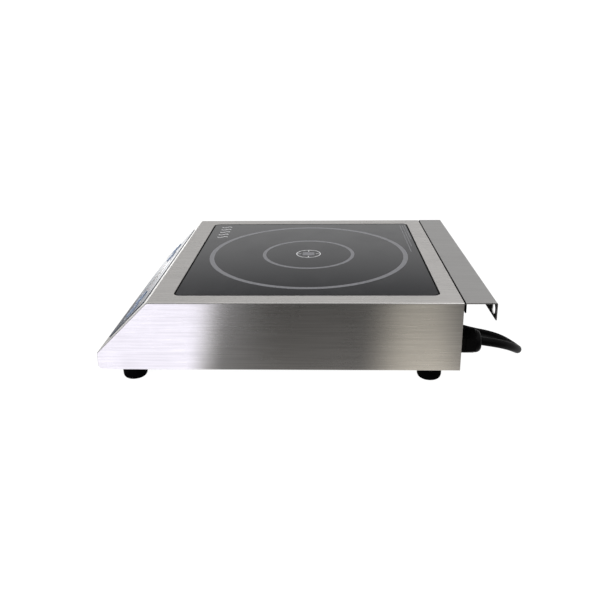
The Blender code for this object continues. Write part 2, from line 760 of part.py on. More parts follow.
def air_duct(build):
    """Hood over the fan that turns the air back along the heat sink."""
    low, high = BASE_TOP + GAP + FAN_THICK + GAP, 0.0700
    wall = 0.0015
    front, rear = FAN_Y - FAN_SIZE / 2, FAN_Y + FAN_SIZE / 2 + 0.004
    size = (FAN_SIZE, rear - front, high - low)
    centre = (FAN_X, (front + rear) / 2, (low + high) / 2)
    obj = build.box("air_duct", size, centre, "nylon_black")
    inside = (FAN_SIZE - 2 * wall, rear - front, high - low)
    hollow = (FAN_X, centre[1] + wall, centre[2] - wall)
    return boolean(obj, build.box("cut_duct", inside, hollow, None))


# Cord gland, cord and plug


def gland(build):
    """Nylon gland in the rear wall: a hexagon body, a domed nut that grips the cord and a nut inside."""
    bore = CORD_DIAMETER / 2 + GAP
    wall = REAR_Y
    axis = Matrix.Translation((GLAND_X, wall, GLAND_Z)) @ ALONG_Y
    corner = GLAND_CORNERS / 2
    upward = math.pi / 2
    body_length, nut_length = 0.0085, 0.0110

    hexagon = [circle(corner, sides=6, turn=upward), circle(bore, sides=20)]
    body = build.outline("gland_body", hexagon, body_length - GAP, "nylon_black", axis, GAP)
    thread = [circle(GLAND_THREAD, sides=24), circle(bore, sides=20)]
    spigot = build.outline("join_thread", thread, 0.0095, None, axis, -0.0090)
    boolean(body, spigot, "UNION")

    hexagon = [circle(corner, sides=6, turn=upward), circle(bore, sides=20)]
    nut = build.outline("gland_nut", hexagon, nut_length, "nylon_black", axis, body_length + GAP)
    dome_low, dome_high = body_length + GAP + nut_length - 0.001, GLAND_REACH
    mouth, shoulder, steps = 0.0078, 0.0122, 4
    profile = [(bore, dome_high)]
    for step in range(steps + 1):
        angle = math.pi / 2 * (1 - step / steps)
        rise = (dome_high - dome_low - 0.0016) * math.sin(angle)
        profile.append((mouth + (shoulder - mouth) * math.cos(angle), dome_low + 0.0016 + rise))
    profile += [(shoulder, dome_low), (bore, dome_low)]
    dome = build.turned("join_dome", profile, None, axis, 20, closed=True)
    boolean(nut, dome, "UNION")

    inside = REAR_Y - 2 * GAP - SHEET
    place = Matrix.Translation((GLAND_X, inside, GLAND_Z)) @ ALONG_Y
    ring = [circle(0.0145, sides=6, turn=upward), circle(GLAND_THREAD + GAP, sides=24)]
    build.outline("gland_lock_nut", ring, 0.005, "nylon_black", place, -0.005)


def smooth_route(route, spacing):
    """Points at an even spacing along a smooth curve through the route's own points."""
    line = [Vector(p) for p in route]
    padded = [2 * line[0] - line[1], *line, 2 * line[-1] - line[-2]]
    dense = []
    for a, b, c, d in zip(padded, padded[1:], padded[2:], padded[3:]):
        for step in range(24):
            t = step / 24
            linear, square, cube = c - a, 2 * a - 5 * b + 4 * c - d, 3 * b - a - 3 * c + d
            dense.append(0.5 * (2 * b + linear * t + square * t**2 + cube * t**3))
    dense.append(line[-1])
    lengths = [0.0]
    for a, b in zip(dense, dense[1:]):
        lengths.append(lengths[-1] + (b - a).length)
    count = max(2, round(lengths[-1] / spacing))
    points, index = [], 0
    for step in range(count + 1):
        wanted = lengths[-1] * step / count
        while index < len(dense) - 2 and lengths[index + 1] < wanted:
            index += 1
        share = (wanted - lengths[index]) / (lengths[index + 1] - lengths[index])
        points.append(dense[index].lerp(dense[index + 1], min(1.0, share)))
    return points


def cord_route():
    """Out of the gland, round and down to the floor, and along the rear wall to the coil."""
    start = REAR_Y + GLAND_REACH + GAP
    return [
        (GLAND_X, start, GLAND_Z),
        (0.1331, 0.2193, 0.0361),
        (0.1269, 0.2342, 0.0302),
        (0.1169, 0.2458, 0.0224),
        (0.1038, 0.2537, 0.0143),
        (0.0883, 0.2572, 0.0080),
        (0.0716, 0.2553, 0.0053),
        (0.0562, 0.2478, CORD_REST),
        (0.0443, 0.2355, CORD_REST),
        (0.0356, 0.2205, CORD_REST),
        (0.0253, 0.2067, CORD_REST),
        (0.0110, 0.1972, CORD_REST),
        (-0.0056, 0.1929, CORD_REST),
        (-0.0231, 0.1922, CORD_REST),
        (-0.0406, 0.1922, CORD_REST),
        (-0.0701, 0.1922, CORD_REST),
        (-0.0995, 0.1926, CORD_REST),
        (-0.1289, 0.1953, CORD_REST),
        (-0.1575, 0.1999, CORD_REST),
        (-0.1866, 0.2047, CORD_REST),
        (-0.2090, 0.2070, CORD_REST),
    ]


def tail_route():
    """From the top of the coil down to the floor and into the plug's sleeve."""
    return [
        (PLUG_X, SPARE_Y - 0.0405, 0.0125),
        (PLUG_X, SPARE_Y - 0.0500, 0.0114),
        (PLUG_X, SPARE_Y - 0.0620, 0.0108),
        (PLUG_X, SLEEVE_END + 0.0060, SLEEVE_Z),
        (PLUG_X, SLEEVE_END + GAP, SLEEVE_Z),
    ]


def mains_cord(build):
    radius = CORD_DIAMETER / 2
    spacing = 2.0 * CORD_DIAMETER
    build.tube("mains_cord", smooth_route(cord_route(), spacing), radius, "cord_rubber")
    build.tube("cord_tail", smooth_route(tail_route(), spacing / 2), radius, "cord_rubber")
    outer, inner = SPARE_RADIUS + CORD_DIAMETER, SPARE_RADIUS - CORD_DIAMETER
    low, high = FLOOR_GAP, SPARE_HEIGHT
    soft = 0.003
    profile = [
        (outer - soft, high),
        (outer, high - soft),
        (outer, low + soft),
        (outer - soft, low),
        (inner + soft, low),
        (inner, low + soft),
        (inner, high - soft),
        (inner + soft, high),
    ]
    place = Matrix.Translation((SPARE_X, SPARE_Y, 0))
    smooth(build.turned("cord_coil", profile, "cord_rubber", place, 32, closed=True))


def plug(build):
    """Moulded three-pin plug lying on its back, pins up, with the cord's sleeve towards +Y."""
    low, high = FLOOR_GAP, 0.0230
    outline = rounded(
        [
            (PLUG_X - 0.0245, PLUG_Y - 0.0230),
            (PLUG_X + 0.0245, PLUG_Y - 0.0230),
            (PLUG_X + 0.0245, PLUG_Y + 0.0080),
            (PLUG_X + 0.0130, PLUG_Y + 0.0260),
            (PLUG_X - 0.0130, PLUG_Y + 0.0260),
            (PLUG_X - 0.0245, PLUG_Y + 0.0080),
        ],
        [0.008, 0.008, 0.010, 0.006, 0.006, 0.010],
    )
    body = build.outline("plug_body", [outline], high - low, "plug_pvc", FLAT, low)
    bevelled(body, 0.002, 2)
    sleeve_start = PLUG_Y + 0.0240
    length = SLEEVE_END - sleeve_start
    place = Matrix.Translation((PLUG_X, sleeve_start + length / 2, SLEEVE_Z)) @ ALONG_Y
    sleeve = build.cylinder("join_sleeve", 0.0092, length, (0, 0, 0), None, place, 20, 0.0064)
    boolean(body, sleeve, "UNION")
    sink = 0.004
    pins = {
        "earth": ((0.0080, 0.0040), (0.0, -0.0130), 0.0227),
        "neutral": ((0.0040, 0.0064), (-0.0111, 0.0092), 0.0177),
        "line": ((0.0040, 0.0064), (0.0111, 0.0092), 0.0177),
    }
    for label, ((size_y, size_x), (x, y), reach) in pins.items():
        pin_place = (PLUG_X + x, PLUG_Y + y)
        well = rectangle(size_x + 2 * GAP, size_y + 2 * GAP, pin_place)
        boolean(body, build.outline(f"cut_pin_{label}", [well], 0.01, None, FLAT, high - sink))
        pin = rectangle(size_x, size_y, pin_place, 0.0005, 2)
        bottom = high - sink + GAP
        build.outline(f"plug_pin_{label}", [pin], reach + sink - GAP, "pin_brass", FLAT, bottom)


def main():
    clear_scene()
    build = Builder()
    casing(build)
    rear_panel(build)
    base_plate(build)
    rear_guard(build)
    guard_screws(build)
    feet(build)
    glass(build)
    glass_seal(build)
    glass_support(build)
    overlay(build)
    display_window(build)
    keys(build)
    control_board(build)
    bracket_top = coil(build)
    coil_bracket(build, bracket_top)
    thermistor(build, bracket_top)
    electronics(build)
    fan(build)
    air_duct(build)
    gland(build)
    mains_cord(build)
    plug(build)


main()
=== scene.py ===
import math

import bmesh
import bpy
from mathutils import Matrix, Vector


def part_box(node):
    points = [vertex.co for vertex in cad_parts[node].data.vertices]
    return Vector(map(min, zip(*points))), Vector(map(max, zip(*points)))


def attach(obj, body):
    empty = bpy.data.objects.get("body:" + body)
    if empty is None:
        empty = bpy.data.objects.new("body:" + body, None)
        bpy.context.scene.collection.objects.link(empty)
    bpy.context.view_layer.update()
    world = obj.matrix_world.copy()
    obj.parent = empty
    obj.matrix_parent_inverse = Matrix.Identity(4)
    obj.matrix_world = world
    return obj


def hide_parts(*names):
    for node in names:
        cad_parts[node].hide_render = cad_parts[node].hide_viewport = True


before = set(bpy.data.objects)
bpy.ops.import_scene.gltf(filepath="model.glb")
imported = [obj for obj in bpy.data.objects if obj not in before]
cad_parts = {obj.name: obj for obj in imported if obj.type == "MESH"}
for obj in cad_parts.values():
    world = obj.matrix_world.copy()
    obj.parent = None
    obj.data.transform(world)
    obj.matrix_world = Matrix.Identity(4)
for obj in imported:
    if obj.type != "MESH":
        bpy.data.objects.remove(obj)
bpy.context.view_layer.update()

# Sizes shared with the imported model, in metres
WIDTH = 0.330
HEIGHT = 0.096
NOSE_Y = -0.210
REAR_Y = 0.176
GUARD_Y = 0.210
FOOT_HEIGHT = 0.019
FOOT_RADIUS = 0.0141
FOOT_ROUND = 0.0045
FOOT_SOLE = 0.0102
NOSE_TOP = 0.0385
FOLD_Y = -0.1522
SHEET = 0.001
GAP = 0.0003
FLANGE = 0.014
GLASS_X = 0.2845
GLASS_Y = 0.2812
GLASS_THICK = 0.004
GLASS_CENTRE_Y = 0.0137
GLASS_RADIUS = 0.006
JOINT_WIDTH = 0.002
GUARD_FRONT_Y = 0.1772
GUARD_BEND = 0.0015
GUARD_FRONT_DROP = 0.011
GUARD_REAR_DROP = 0.019
GUARD_SHEET = 0.0012
GUARD_HOLE = 0.006
GUARD_HOLE_X = 0.154
GUARD_HOLE_DROP = 0.010
GUARD_SCREW_X = 0.100
GUARD_SCREW_Z = 0.0895
KEY_PLACES = {"minus": -0.112, "plus": -0.076, "function": 0.080, "power": 0.118}
KEY_X = 0.020
KEY_Y = 0.014
KEY_ROUND = 0.003
WINDOW_X = 0.074
WINDOW_Y = 0.026
OVERLAY_TOP = 0.0009
KEY_TOP = 0.0021
GLAND_X = 0.135
GLAND_Z = 0.0397
GLAND_REACH = 0.0263
CORD_DIAMETER = 0.0095
CORD_REST = 0.00505
COIL_X = -0.246
COIL_Y = 0.152
COIL_WIDE = 0.0572
COIL_TIGHT = 0.0477
PLUG_X = -0.2985
PLUG_Y = 0.010
SLEEVE_END = 0.072
SLEEVE_Z = 0.0110

# Screws: the head's radius and rise, the shank's radius and reach
GUARD_SCREW = (0.0036, 0.0024, 0.0018, 0.0065)
SHEET_SCREW = (0.0030, 0.0019, 0.0014, 0.0040)
FOOT_SCREW = (0.0040, 0.0026, 0.0020, 0.0150)

# How far a cutter reaches past the sheet that it goes through
THROUGH = 0.005

FLAT = Matrix.Identity(4)
SIDE = Matrix(((0, 0, 1, 0), (1, 0, 0, 0), (0, 1, 0, 0), (0, 0, 0, 1)))
UPRIGHT = Matrix(((1, 0, 0, 0), (0, 0, -1, 0), (0, 1, 0, 0), (0, 0, 0, 1)))
SLOPE_ANGLE = math.atan2(HEIGHT - NOSE_TOP, FOLD_Y - NOSE_Y)
SLOPE = Matrix.Translation((0, (NOSE_Y + FOLD_Y) / 2, (NOSE_TOP + HEIGHT) / 2)) @ Matrix.Rotation(
    SLOPE_ANGLE, 4, "X"
)
ALONG_Y = Matrix.Rotation(math.radians(-90), 4, "X")
DOWN = Matrix.Rotation(math.pi, 4, "X")


# Camera


def camera():
    """View from the right side, looking a little down on the top."""
    place = (0.7738, 0.0310, 0.3462)
    yaw, pitch, roll = math.radians(2.079), math.radians(17.223), math.radians(-0.782)
    ahead = Vector(
        (-math.cos(pitch) * math.cos(yaw), -math.cos(pitch) * math.sin(yaw), -math.sin(pitch))
    )
    level = ahead.cross(Vector((0, 0, 1))).normalized()
    upright = level.cross(ahead)
    right = math.cos(roll) * level + math.sin(roll) * upright
    up = -math.sin(roll) * level + math.cos(roll) * upright
    data = bpy.data.cameras.new("camera")
    data.lens = 38.27
    data.sensor_width = 36
    data.shift_y = -0.0897
    obj = bpy.data.objects.new("camera", data)
    turn = Matrix((right, up, -ahead)).transposed().to_4x4()
    obj.matrix_world = Matrix.Translation(place) @ turn
    bpy.context.scene.collection.objects.link(obj)
    bpy.context.scene.camera = obj


# Node trees


def add(tree, kind, values=None, **settings):
    """A new node with its settings, and its inputs set to numbers or linked to sockets."""
    made = tree.nodes.new(kind)
    for key, value in settings.items():
        setattr(made, key, value)
    for key, value in (values or {}).items():
        socket = made.inputs[key]
        if isinstance(value, bpy.types.NodeSocket):
            tree.links.new(value, socket)
        else:
            socket.default_value = value
    return made


def calc(tree, operation, a, b=0.0, c=0.0):
    return add(tree, "ShaderNodeMath", {0: a, 1: b, 2: c}, operation=operation).outputs[0]


def ramp(tree, value, low, high, out_low=0.0, out_high=1.0):
    """A value's range mapped smoothly to another, held at its ends."""
    values = {"Value": value, "From Min": low, "From Max": high, "To Min": out_low, "To Max": out_high}
    return add(tree, "ShaderNodeMapRange", values, interpolation_type="SMOOTHSTEP").outputs[0]


def mix(tree, share, a, b):
    """Colour a turning into colour b as share goes from 0 to 1."""
    made = add(tree, "ShaderNodeMix", {0: share, 6: a, 7: b}, data_type="RGBA")
    return made.outputs[2]


def noise(tree, vector, scale, detail=2.0, rough=0.5):
    values = {"Vector": vector, "Scale": scale, "Detail": detail, "Roughness": rough}
    return add(tree, "ShaderNodeTexNoise", values).outputs["Fac"]


def grey(value, warm=0.0):
    """A grey, turned a little towards yellow where warm is above 0."""
    return (value * (1 + warm), value, value * (1 - warm), 1.0)


class Group:
    """A shader node group with named inputs and outputs."""

    def __init__(self, name, inputs, outputs):
        self.tree = bpy.data.node_groups.new(name, "ShaderNodeTree")
        for label, (kind, value) in inputs.items():
            socket = self.tree.interface.new_socket(label, in_out="INPUT", socket_type=kind)
            if value is not None:
                socket.default_value = value
        for label, kind in outputs.items():
            self.tree.interface.new_socket(label, in_out="OUTPUT", socket_type=kind)
        self.given = self.tree.nodes.new("NodeGroupInput").outputs
        self.wanted = self.tree.nodes.new("NodeGroupOutput").inputs

    def put(self, label, socket):
        self.tree.links.new(socket, self.wanted[label])


FLOAT, VECTOR, COLOUR = "NodeSocketFloat", "NodeSocketVector", "NodeSocketColor"


def brushed_grain_group():
    """Long fine lines of brushed sheet, along Y, or along X where Across is 1."""
    inputs = {
        "Position": (VECTOR, None),
        "Across": (FLOAT, 0.0),
        "Lines": (FLOAT, 1500.0),
        "Length": (FLOAT, 0.02),
    }
    group = Group("brushed_grain", inputs, {"Lines": FLOAT, "Streaks": FLOAT, "Tone": FLOAT})
    tree, given = group.tree, group.given
    fine = given["Lines"]
    long = calc(tree, "MULTIPLY", fine, given["Length"])
    lengthwise = add(tree, "ShaderNodeCombineXYZ", {0: fine, 1: long, 2: fine}).outputs[0]
    crosswise = add(tree, "ShaderNodeCombineXYZ", {0: long, 1: fine, 2: fine}).outputs[0]
    scale = add(
        tree, "ShaderNodeMix", {0: given["Across"], 4: lengthwise, 5: crosswise}, data_type="VECTOR"
    ).outputs[1]
    placed = add(
        tree, "ShaderNodeVectorMath", {0: given["Position"], 1: scale}, operation="MULTIPLY"
    ).outputs[0]
    group.put("Lines", noise(tree, placed, 1.0, 2.0, 0.7))
    group.put("Streaks", ramp(tree, noise(tree, placed, 0.23, 2.0, 0.6), 0.3, 0.7))
    group.put("Tone", noise(tree, placed, 0.09, 1.0, 0.5))
    return group.tree


def handling_group():
    """Faint smudges left by hands and cloths, and specks of dust."""
    group = Group(
        "handling",
        {"Position": (VECTOR, None), "Smudge Scale": (FLOAT, 14.0), "Speck Scale": (FLOAT, 900.0)},
        {"Smudge": FLOAT, "Specks": FLOAT},
    )
    tree, given = group.tree, group.given
    cloud = noise(tree, given["Position"], given["Smudge Scale"], 4.0, 0.6)
    group.put("Smudge", ramp(tree, cloud, 0.42, 0.68))
    dots = add(
        tree,
        "ShaderNodeTexVoronoi",
        {"Vector": given["Position"], "Scale": given["Speck Scale"], "Randomness": 1.0},
    ).outputs["Distance"]
    group.put("Specks", ramp(tree, dots, 0.05, 0.14, 1.0, 0.0))
    return group.tree


def moulded_grain_group():
    """Fine pitted skin of moulded rubber and plastic, with slow changes of tone."""
    group = Group(
        "moulded_grain",
        {"Position": (VECTOR, None), "Grain": (FLOAT, 1800.0)},
        {"Height": FLOAT, "Tone": FLOAT},
    )
    tree, given = group.tree, group.given
    group.put("Height", noise(tree, given["Position"], given["Grain"], 2.0, 0.6))
    group.put("Tone", noise(tree, given["Position"], 60.0, 3.0, 0.6))
    return group.tree


def fold_polish_and_highlight_group():
    """Mask of the sheet's bends, 1 on bends and 0 on the flat faces. Where it is used, the grain is rubbed
    smooth and the colour is lightened as a painted highlight.
    """
    group = Group("fold_polish_and_highlight", {"Normal": (VECTOR, None)}, {"Bend": FLOAT})
    tree, given = group.tree, group.given
    slope_face = (0, -math.sin(SLOPE_ANGLE), math.cos(SLOPE_ANGLE))
    nearest = None
    for flat_face in ((1, 0, 0), (0, 1, 0), (0, 0, 1), slope_face):
        facing = add(
            tree, "ShaderNodeVectorMath", {0: given["Normal"], 1: flat_face}, operation="DOT_PRODUCT"
        ).outputs["Value"]
        facing = calc(tree, "ABSOLUTE", facing)
        nearest = facing if nearest is None else calc(tree, "MAXIMUM", nearest, facing)
    group.put("Bend", ramp(tree, nearest, 0.9, 0.995, 1.0, 0.0))
    return group.tree


GROUPS = {
    "brushed": brushed_grain_group(),
    "handling": handling_group(),
    "moulded": moulded_grain_group(),
    "polish": fold_polish_and_highlight_group(),
}


def use(tree, group, values):
    return add(tree, "ShaderNodeGroup", values, node_tree=GROUPS[group]).outputs


# Materials


class Finish:
    """A material, its Principled shader and the position in metres that its patterns follow."""

    def __init__(self, name, **constants):
        self.material = bpy.data.materials.new(name)
        self.material.use_nodes = True
        self.tree = self.material.node_tree
        self.shader = self.tree.nodes["Principled BSDF"]
        self.at = add(self.tree, "ShaderNodeTexCoord").outputs["Object"]
        for label, value in constants.items():
            self.shader.inputs[label.replace("_", " ")].default_value = value

    def feed(self, label, socket):
        self.tree.links.new(socket, self.shader.inputs[label])

    def bump(self, height, strength, distance):
        values = {"Height": height, "Strength": strength, "Distance": distance}
        self.feed("Normal", add(self.tree, "ShaderNodeBump", values).outputs[0])


def across_mask(tree):
    """1 on faces that look along Y or down the slope, where the grain runs along X; and the normal."""
    normal = add(tree, "ShaderNodeNewGeometry").outputs["Normal"]
    y = add(tree, "ShaderNodeSeparateXYZ", {0: normal}).outputs["Y"]
    return calc(tree, "GREATER_THAN", calc(tree, "ABSOLUTE", y), 0.35), normal


def brushed_steel(name, base, rough, lines, contrast, warm=0.030, anisotropic=0.8):
    finish = Finish(name, Metallic=1.0, Anisotropic=anisotropic, Anisotropic_Rotation=0.25)
    tree = finish.tree
    across, normal = across_mask(tree)
    grain = use(tree, "brushed", {"Position": finish.at, "Across": across, "Lines": lines, "Length": 0.022})
    marks = use(tree, "handling", {"Position": finish.at})
    bend = use(tree, "polish", {"Normal": normal})["Bend"]
    tangent = add(
        tree,
        "ShaderNodeMix",
        {0: across, 4: (0.0, 1.0, 0.0), 5: (1.0, 0.0, 0.0)},
        data_type="VECTOR",
    ).outputs[1]
    finish.feed("Tangent", tangent)
    dark = mix(tree, grain["Streaks"], grey(base * (1 - contrast), warm), grey(base, warm))
    colour = mix(tree, calc(tree, "MULTIPLY", grain["Tone"], 0.15), dark, grey(base * 1.12, warm * 0.5))
    # Lighter colour on the bends: a painted highlight along the folds.
    colour = mix(tree, calc(tree, "MULTIPLY", bend, 0.25), colour, grey(min(1.0, base * 1.25)))
    colour = mix(tree, calc(tree, "MULTIPLY", marks["Smudge"], 0.08), colour, grey(base * 0.7, warm))
    finish.feed("Base Color", colour)
    roughness = calc(tree, "MULTIPLY_ADD", grain["Lines"], 0.12, rough - 0.06)
    roughness = calc(tree, "MULTIPLY_ADD", marks["Smudge"], 0.03, roughness)
    roughness = calc(tree, "MULTIPLY_ADD", bend, -0.08, roughness)
    finish.feed("Roughness", roughness)
    finish.bump(grain["Lines"], 0.05, 0.0002)
    return finish.material


def zinc_steel():
    """Galvanised sheet with its spangle."""
    finish = Finish("zinc_sheet", Metallic=1.0)
    tree = finish.tree
    spangle = add(tree, "ShaderNodeTexVoronoi", {"Vector": finish.at, "Scale": 170.0}).outputs["Color"]
    tone = add(tree, "ShaderNodeSeparateXYZ", {0: spangle}).outputs["X"]
    finish.feed("Base Color", mix(tree, tone, grey(0.44), grey(0.62)))
    finish.feed("Roughness", calc(tree, "MULTIPLY_ADD", tone, 0.18, 0.30))
    finish.bump(noise(tree, finish.at, 900.0, 3.0), 0.05, 0.0002)
    return finish.material


def ceramic_glass():
    """Black glass-ceramic plate with a faint mottle of wiping."""
    finish = Finish("black_ceramic_glass", IOR=1.52)
    tree = finish.tree
    marks = use(tree, "handling", {"Position": finish.at, "Smudge Scale": 22.0, "Speck Scale": 700.0})
    body = mix(tree, marks["Smudge"], (0.0070, 0.0074, 0.0098, 1), (0.0095, 0.0098, 0.0125, 1))
    finish.feed("Base Color", mix(tree, calc(tree, "MULTIPLY", marks["Specks"], 0.10), body, grey(0.20)))
    finish.feed("Roughness", calc(tree, "MULTIPLY_ADD", marks["Smudge"], 0.05, 0.11))
    finish.bump(noise(tree, finish.at, 45.0, 2.0), 0.012, 0.0004)
    return finish.material


def print_enamel(name, light, dark):
    """Ceramic ink fired on the glass, printed as a fine dot screen."""
    finish = Finish(name, IOR=1.5)
    tree = finish.tree
    dots = add(
        tree, "ShaderNodeTexVoronoi", {"Vector": finish.at, "Scale": 1300.0, "Randomness": 0.15}
    ).outputs["Distance"]
    wear = noise(tree, finish.at, 90.0, 4.0, 0.6)
    ink = mix(tree, ramp(tree, dots, 0.25, 0.6), (*light, 1), (*dark, 1))
    worn = tuple(0.6 * c for c in dark) + (1,)
    finish.feed("Base Color", mix(tree, ramp(tree, wear, 0.5, 0.8, 0.0, 0.35), ink, worn))
    finish.feed("Roughness", calc(tree, "MULTIPLY_ADD", wear, 0.10, 0.20))
    finish.bump(dots, 0.1, 0.0001)
    return finish.material


def moulded(name, colour, rough, grain, depth, lift=0.35, dust=0.03, **constants):
    """Moulded plastic or rubber: a pitted skin, tone that drifts, and a little dust."""
    finish = Finish(name, **constants)
    tree = finish.tree
    skin = use(tree, "moulded", {"Position": finish.at, "Grain": grain})
    marks = use(tree, "handling", {"Position": finish.at, "Smudge Scale": 40.0, "Speck Scale": 1100.0})
    base = (*colour, 1.0)
    light = tuple(min(1.0, c * (1 + lift)) for c in colour) + (1.0,)
    tint = mix(tree, skin["Tone"], base, light)
    dusty = tuple(0.9 * c + dust for c in colour) + (1.0,)
    finish.feed("Base Color", mix(tree, calc(tree, "MULTIPLY", marks["Specks"], 0.25), tint, dusty))
    worn = calc(tree, "MULTIPLY_ADD", marks["Smudge"], -0.06, rough)
    finish.feed("Roughness", calc(tree, "MULTIPLY_ADD", skin["Height"], 0.10, worn))
    finish.bump(skin["Height"], 0.35, depth)
    return finish.material


def dull_black(name, colour, rough, grain, depth, shine, lift=0.8):
    """Black rubber, nylon, or the flat black of painted shade, with little shine, on which dust barely shows.
    """
    return moulded(name, colour, rough, grain, depth, lift, 0.004, Specular_IOR_Level=shine)


def control_film():
    """Polyester overlay: blue-grey with a satin, faintly textured face."""
    finish = Finish("overlay_film", IOR=1.5)
    tree = finish.tree
    skin = use(tree, "moulded", {"Position": finish.at, "Grain": 2600.0})
    marks = use(tree, "handling", {"Position": finish.at, "Smudge Scale": 30.0})
    tint = mix(tree, skin["Tone"], (0.050, 0.060, 0.085, 1), (0.072, 0.084, 0.112, 1))
    smudged = calc(tree, "MULTIPLY", marks["Smudge"], 0.15)
    finish.feed("Base Color", mix(tree, smudged, tint, (0.10, 0.11, 0.13, 1)))
    finish.feed("Roughness", calc(tree, "MULTIPLY_ADD", marks["Smudge"], 0.08, 0.20))
    finish.bump(skin["Height"], 0.2, 0.00008)
    return finish.material


def circuit_board():
    """Green solder mask over copper tracks and tinned pads."""
    finish = Finish("solder_mask")
    tree = finish.tree
    layout = {
        "Vector": finish.at,
        "Scale": 60.0,
        "Mortar Size": 0.02,
        "Color1": grey(0),
        "Color2": grey(0),
        "Mortar": grey(1),
    }
    tracks = add(tree, "ShaderNodeTexBrick", layout).outputs["Color"]
    pads = add(
        tree, "ShaderNodeTexVoronoi", {"Vector": finish.at, "Scale": 170.0, "Randomness": 0.4}
    ).outputs["Distance"]
    mask = mix(tree, tracks, (0.010, 0.085, 0.040, 1), (0.022, 0.150, 0.070, 1))
    pad = ramp(tree, pads, 0.12, 0.18, 1.0, 0.0)
    finish.feed("Base Color", mix(tree, pad, mask, (0.55, 0.55, 0.50, 1)))
    finish.feed("Metallic", pad)
    finish.feed("Roughness", calc(tree, "MULTIPLY_ADD", noise(tree, finish.at, 120.0), 0.15, 0.3))
    return finish.material


def wound_copper():
    """Turns of enamelled stranded wire, seen as close rings round the coil's middle, darker between the turns
    as painted shade in the grooves.
    """
    finish = Finish("wound_copper", Metallic=0.8)
    tree = finish.tree
    moved = add(
        tree, "ShaderNodeVectorMath", {0: finish.at, 1: (0.0, GLASS_CENTRE_Y, 0.0)}, operation="SUBTRACT"
    ).outputs[0]
    wire = add(
        tree,
        "ShaderNodeTexWave",
        {"Vector": moved, "Scale": 110.0, "Distortion": 0.0},
        wave_type="RINGS",
        rings_direction="Z",
    ).outputs["Fac"]
    # Darker between the turns: painted shade in the grooves between the wires.
    finish.feed("Base Color", mix(tree, wire, (0.20, 0.07, 0.025, 1), (0.68, 0.29, 0.14, 1)))
    finish.feed("Roughness", calc(tree, "MULTIPLY_ADD", wire, -0.15, 0.45))
    finish.bump(wire, 0.5, 0.0006)
    return finish.material


def mottled(name, dark, light, scale, rough, depth, **constants):
    """A plain industrial surface with mottled tone: ferrite, mica, cast or anodised metal."""
    finish = Finish(name, **constants)
    tree = finish.tree
    cloud = noise(tree, finish.at, scale, 5.0, 0.6)
    finish.feed("Base Color", mix(tree, ramp(tree, cloud, 0.3, 0.7), (*dark, 1), (*light, 1)))
    finish.feed("Roughness", calc(tree, "MULTIPLY_ADD", cloud, 0.2, rough - 0.1))
    finish.bump(cloud, 0.25, depth)
    return finish.material


FINISHES = {
    "stainless": brushed_steel("brushed_steel", 0.77, 0.28, 2500.0, 0.14, anisotropic=0.95),
    "zinc_steel": zinc_steel(),
    "ceramic_glass": ceramic_glass(),
    "silicone": dull_black("silicone_joint", (0.0016, 0.0016, 0.0018), 0.6, 1200.0, 0.0001, 0.08, 0.6),
    "foot_rubber": dull_black("foot_rubber", (0.0008, 0.0008, 0.0009), 0.66, 1500.0, 0.00012, 0.015),
    "overlay_film": control_film(),
    "window": moulded("smoked_window", (0.010, 0.013, 0.020), 0.10, 300.0, 0.00001, Coat_Weight=0.6),
    "key_film": moulded("key_cap", (0.17, 0.22, 0.32), 0.34, 2400.0, 0.00006, 0.12),
    "circuit_board": circuit_board(),
    "black_nylon": dull_black("black_nylon", (0.0009, 0.0009, 0.0010), 0.44, 1600.0, 0.00010, 0.10),
    "white_plastic": moulded("white_plastic", (0.62, 0.62, 0.60), 0.42, 1500.0, 0.00008, 0.1),
    "copper": wound_copper(),
    "ferrite": mottled("ferrite", (0.035, 0.035, 0.038), (0.075, 0.075, 0.08), 350.0, 0.65, 0.0002),
    "mica": mottled("mica_sheet", (0.42, 0.36, 0.26), (0.60, 0.53, 0.40), 220.0, 0.5, 0.0002),
    "aluminium": mottled(
        "bare_aluminium", (0.52, 0.53, 0.54), (0.70, 0.71, 0.72), 260.0, 0.38, 0.0001, Metallic=1.0
    ),
    "capacitor": moulded("capacitor_case", (0.03, 0.09, 0.28), 0.32, 1200.0, 0.00008),
    "cord_rubber": dull_black("cord_rubber", (0.0009, 0.0009, 0.0010), 0.50, 1300.0, 0.00012, 0.09),
    "plug_pvc": moulded("plug_body", (0.0045, 0.0045, 0.005), 0.38, 1500.0, 0.00010),
    "brass_pins": mottled(
        "brass_pin", (0.60, 0.46, 0.22), (0.78, 0.63, 0.34), 420.0, 0.28, 0.00008, Metallic=1.0
    ),
}
PRINT = print_enamel("fired_print", (0.21, 0.21, 0.23), (0.14, 0.14, 0.15))
PALE_PRINT = print_enamel("pale_print", (0.80, 0.80, 0.82), (0.68, 0.68, 0.70))
GUARD_STEEL = brushed_steel("guard_steel", 0.50, 0.42, 2300.0, 0.09, 0.015)
# Flat black for the guard's channel, gap and undersides: painted shade, not a paint the guard has.
SHADE_BLACK = dull_black("painted_shade_black", (0.0010, 0.0010, 0.0011), 0.7, 900.0, 0.00010, 0.05)
SYMBOL_INK = moulded("symbol_ink", (0.42, 0.48, 0.58), 0.40, 1500.0, 0.00002, 0.05)
DARK_INK = moulded("dark_ink", (0.020, 0.026, 0.040), 0.42, 1500.0, 0.00002)
DIM_SEGMENT = moulded("dim_segment", (0.075, 0.070, 0.075), 0.35, 1500.0, 0.00002)
LAMP = moulded("lamp_lens", (0.30, 0.045, 0.030), 0.22, 900.0, 0.00002)
SCREW_STEEL = mottled(
    "screw_steel", (0.46, 0.46, 0.46), (0.66, 0.66, 0.65), 700.0, 0.32, 0.00006, Metallic=1.0
)


def finish_packed_nodes():
    """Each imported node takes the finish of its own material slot."""
    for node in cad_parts.values():
        for place in node.material_slots:
            place.material = FINISHES[place.material.name.split(".")[0]]


# Outlines and meshes


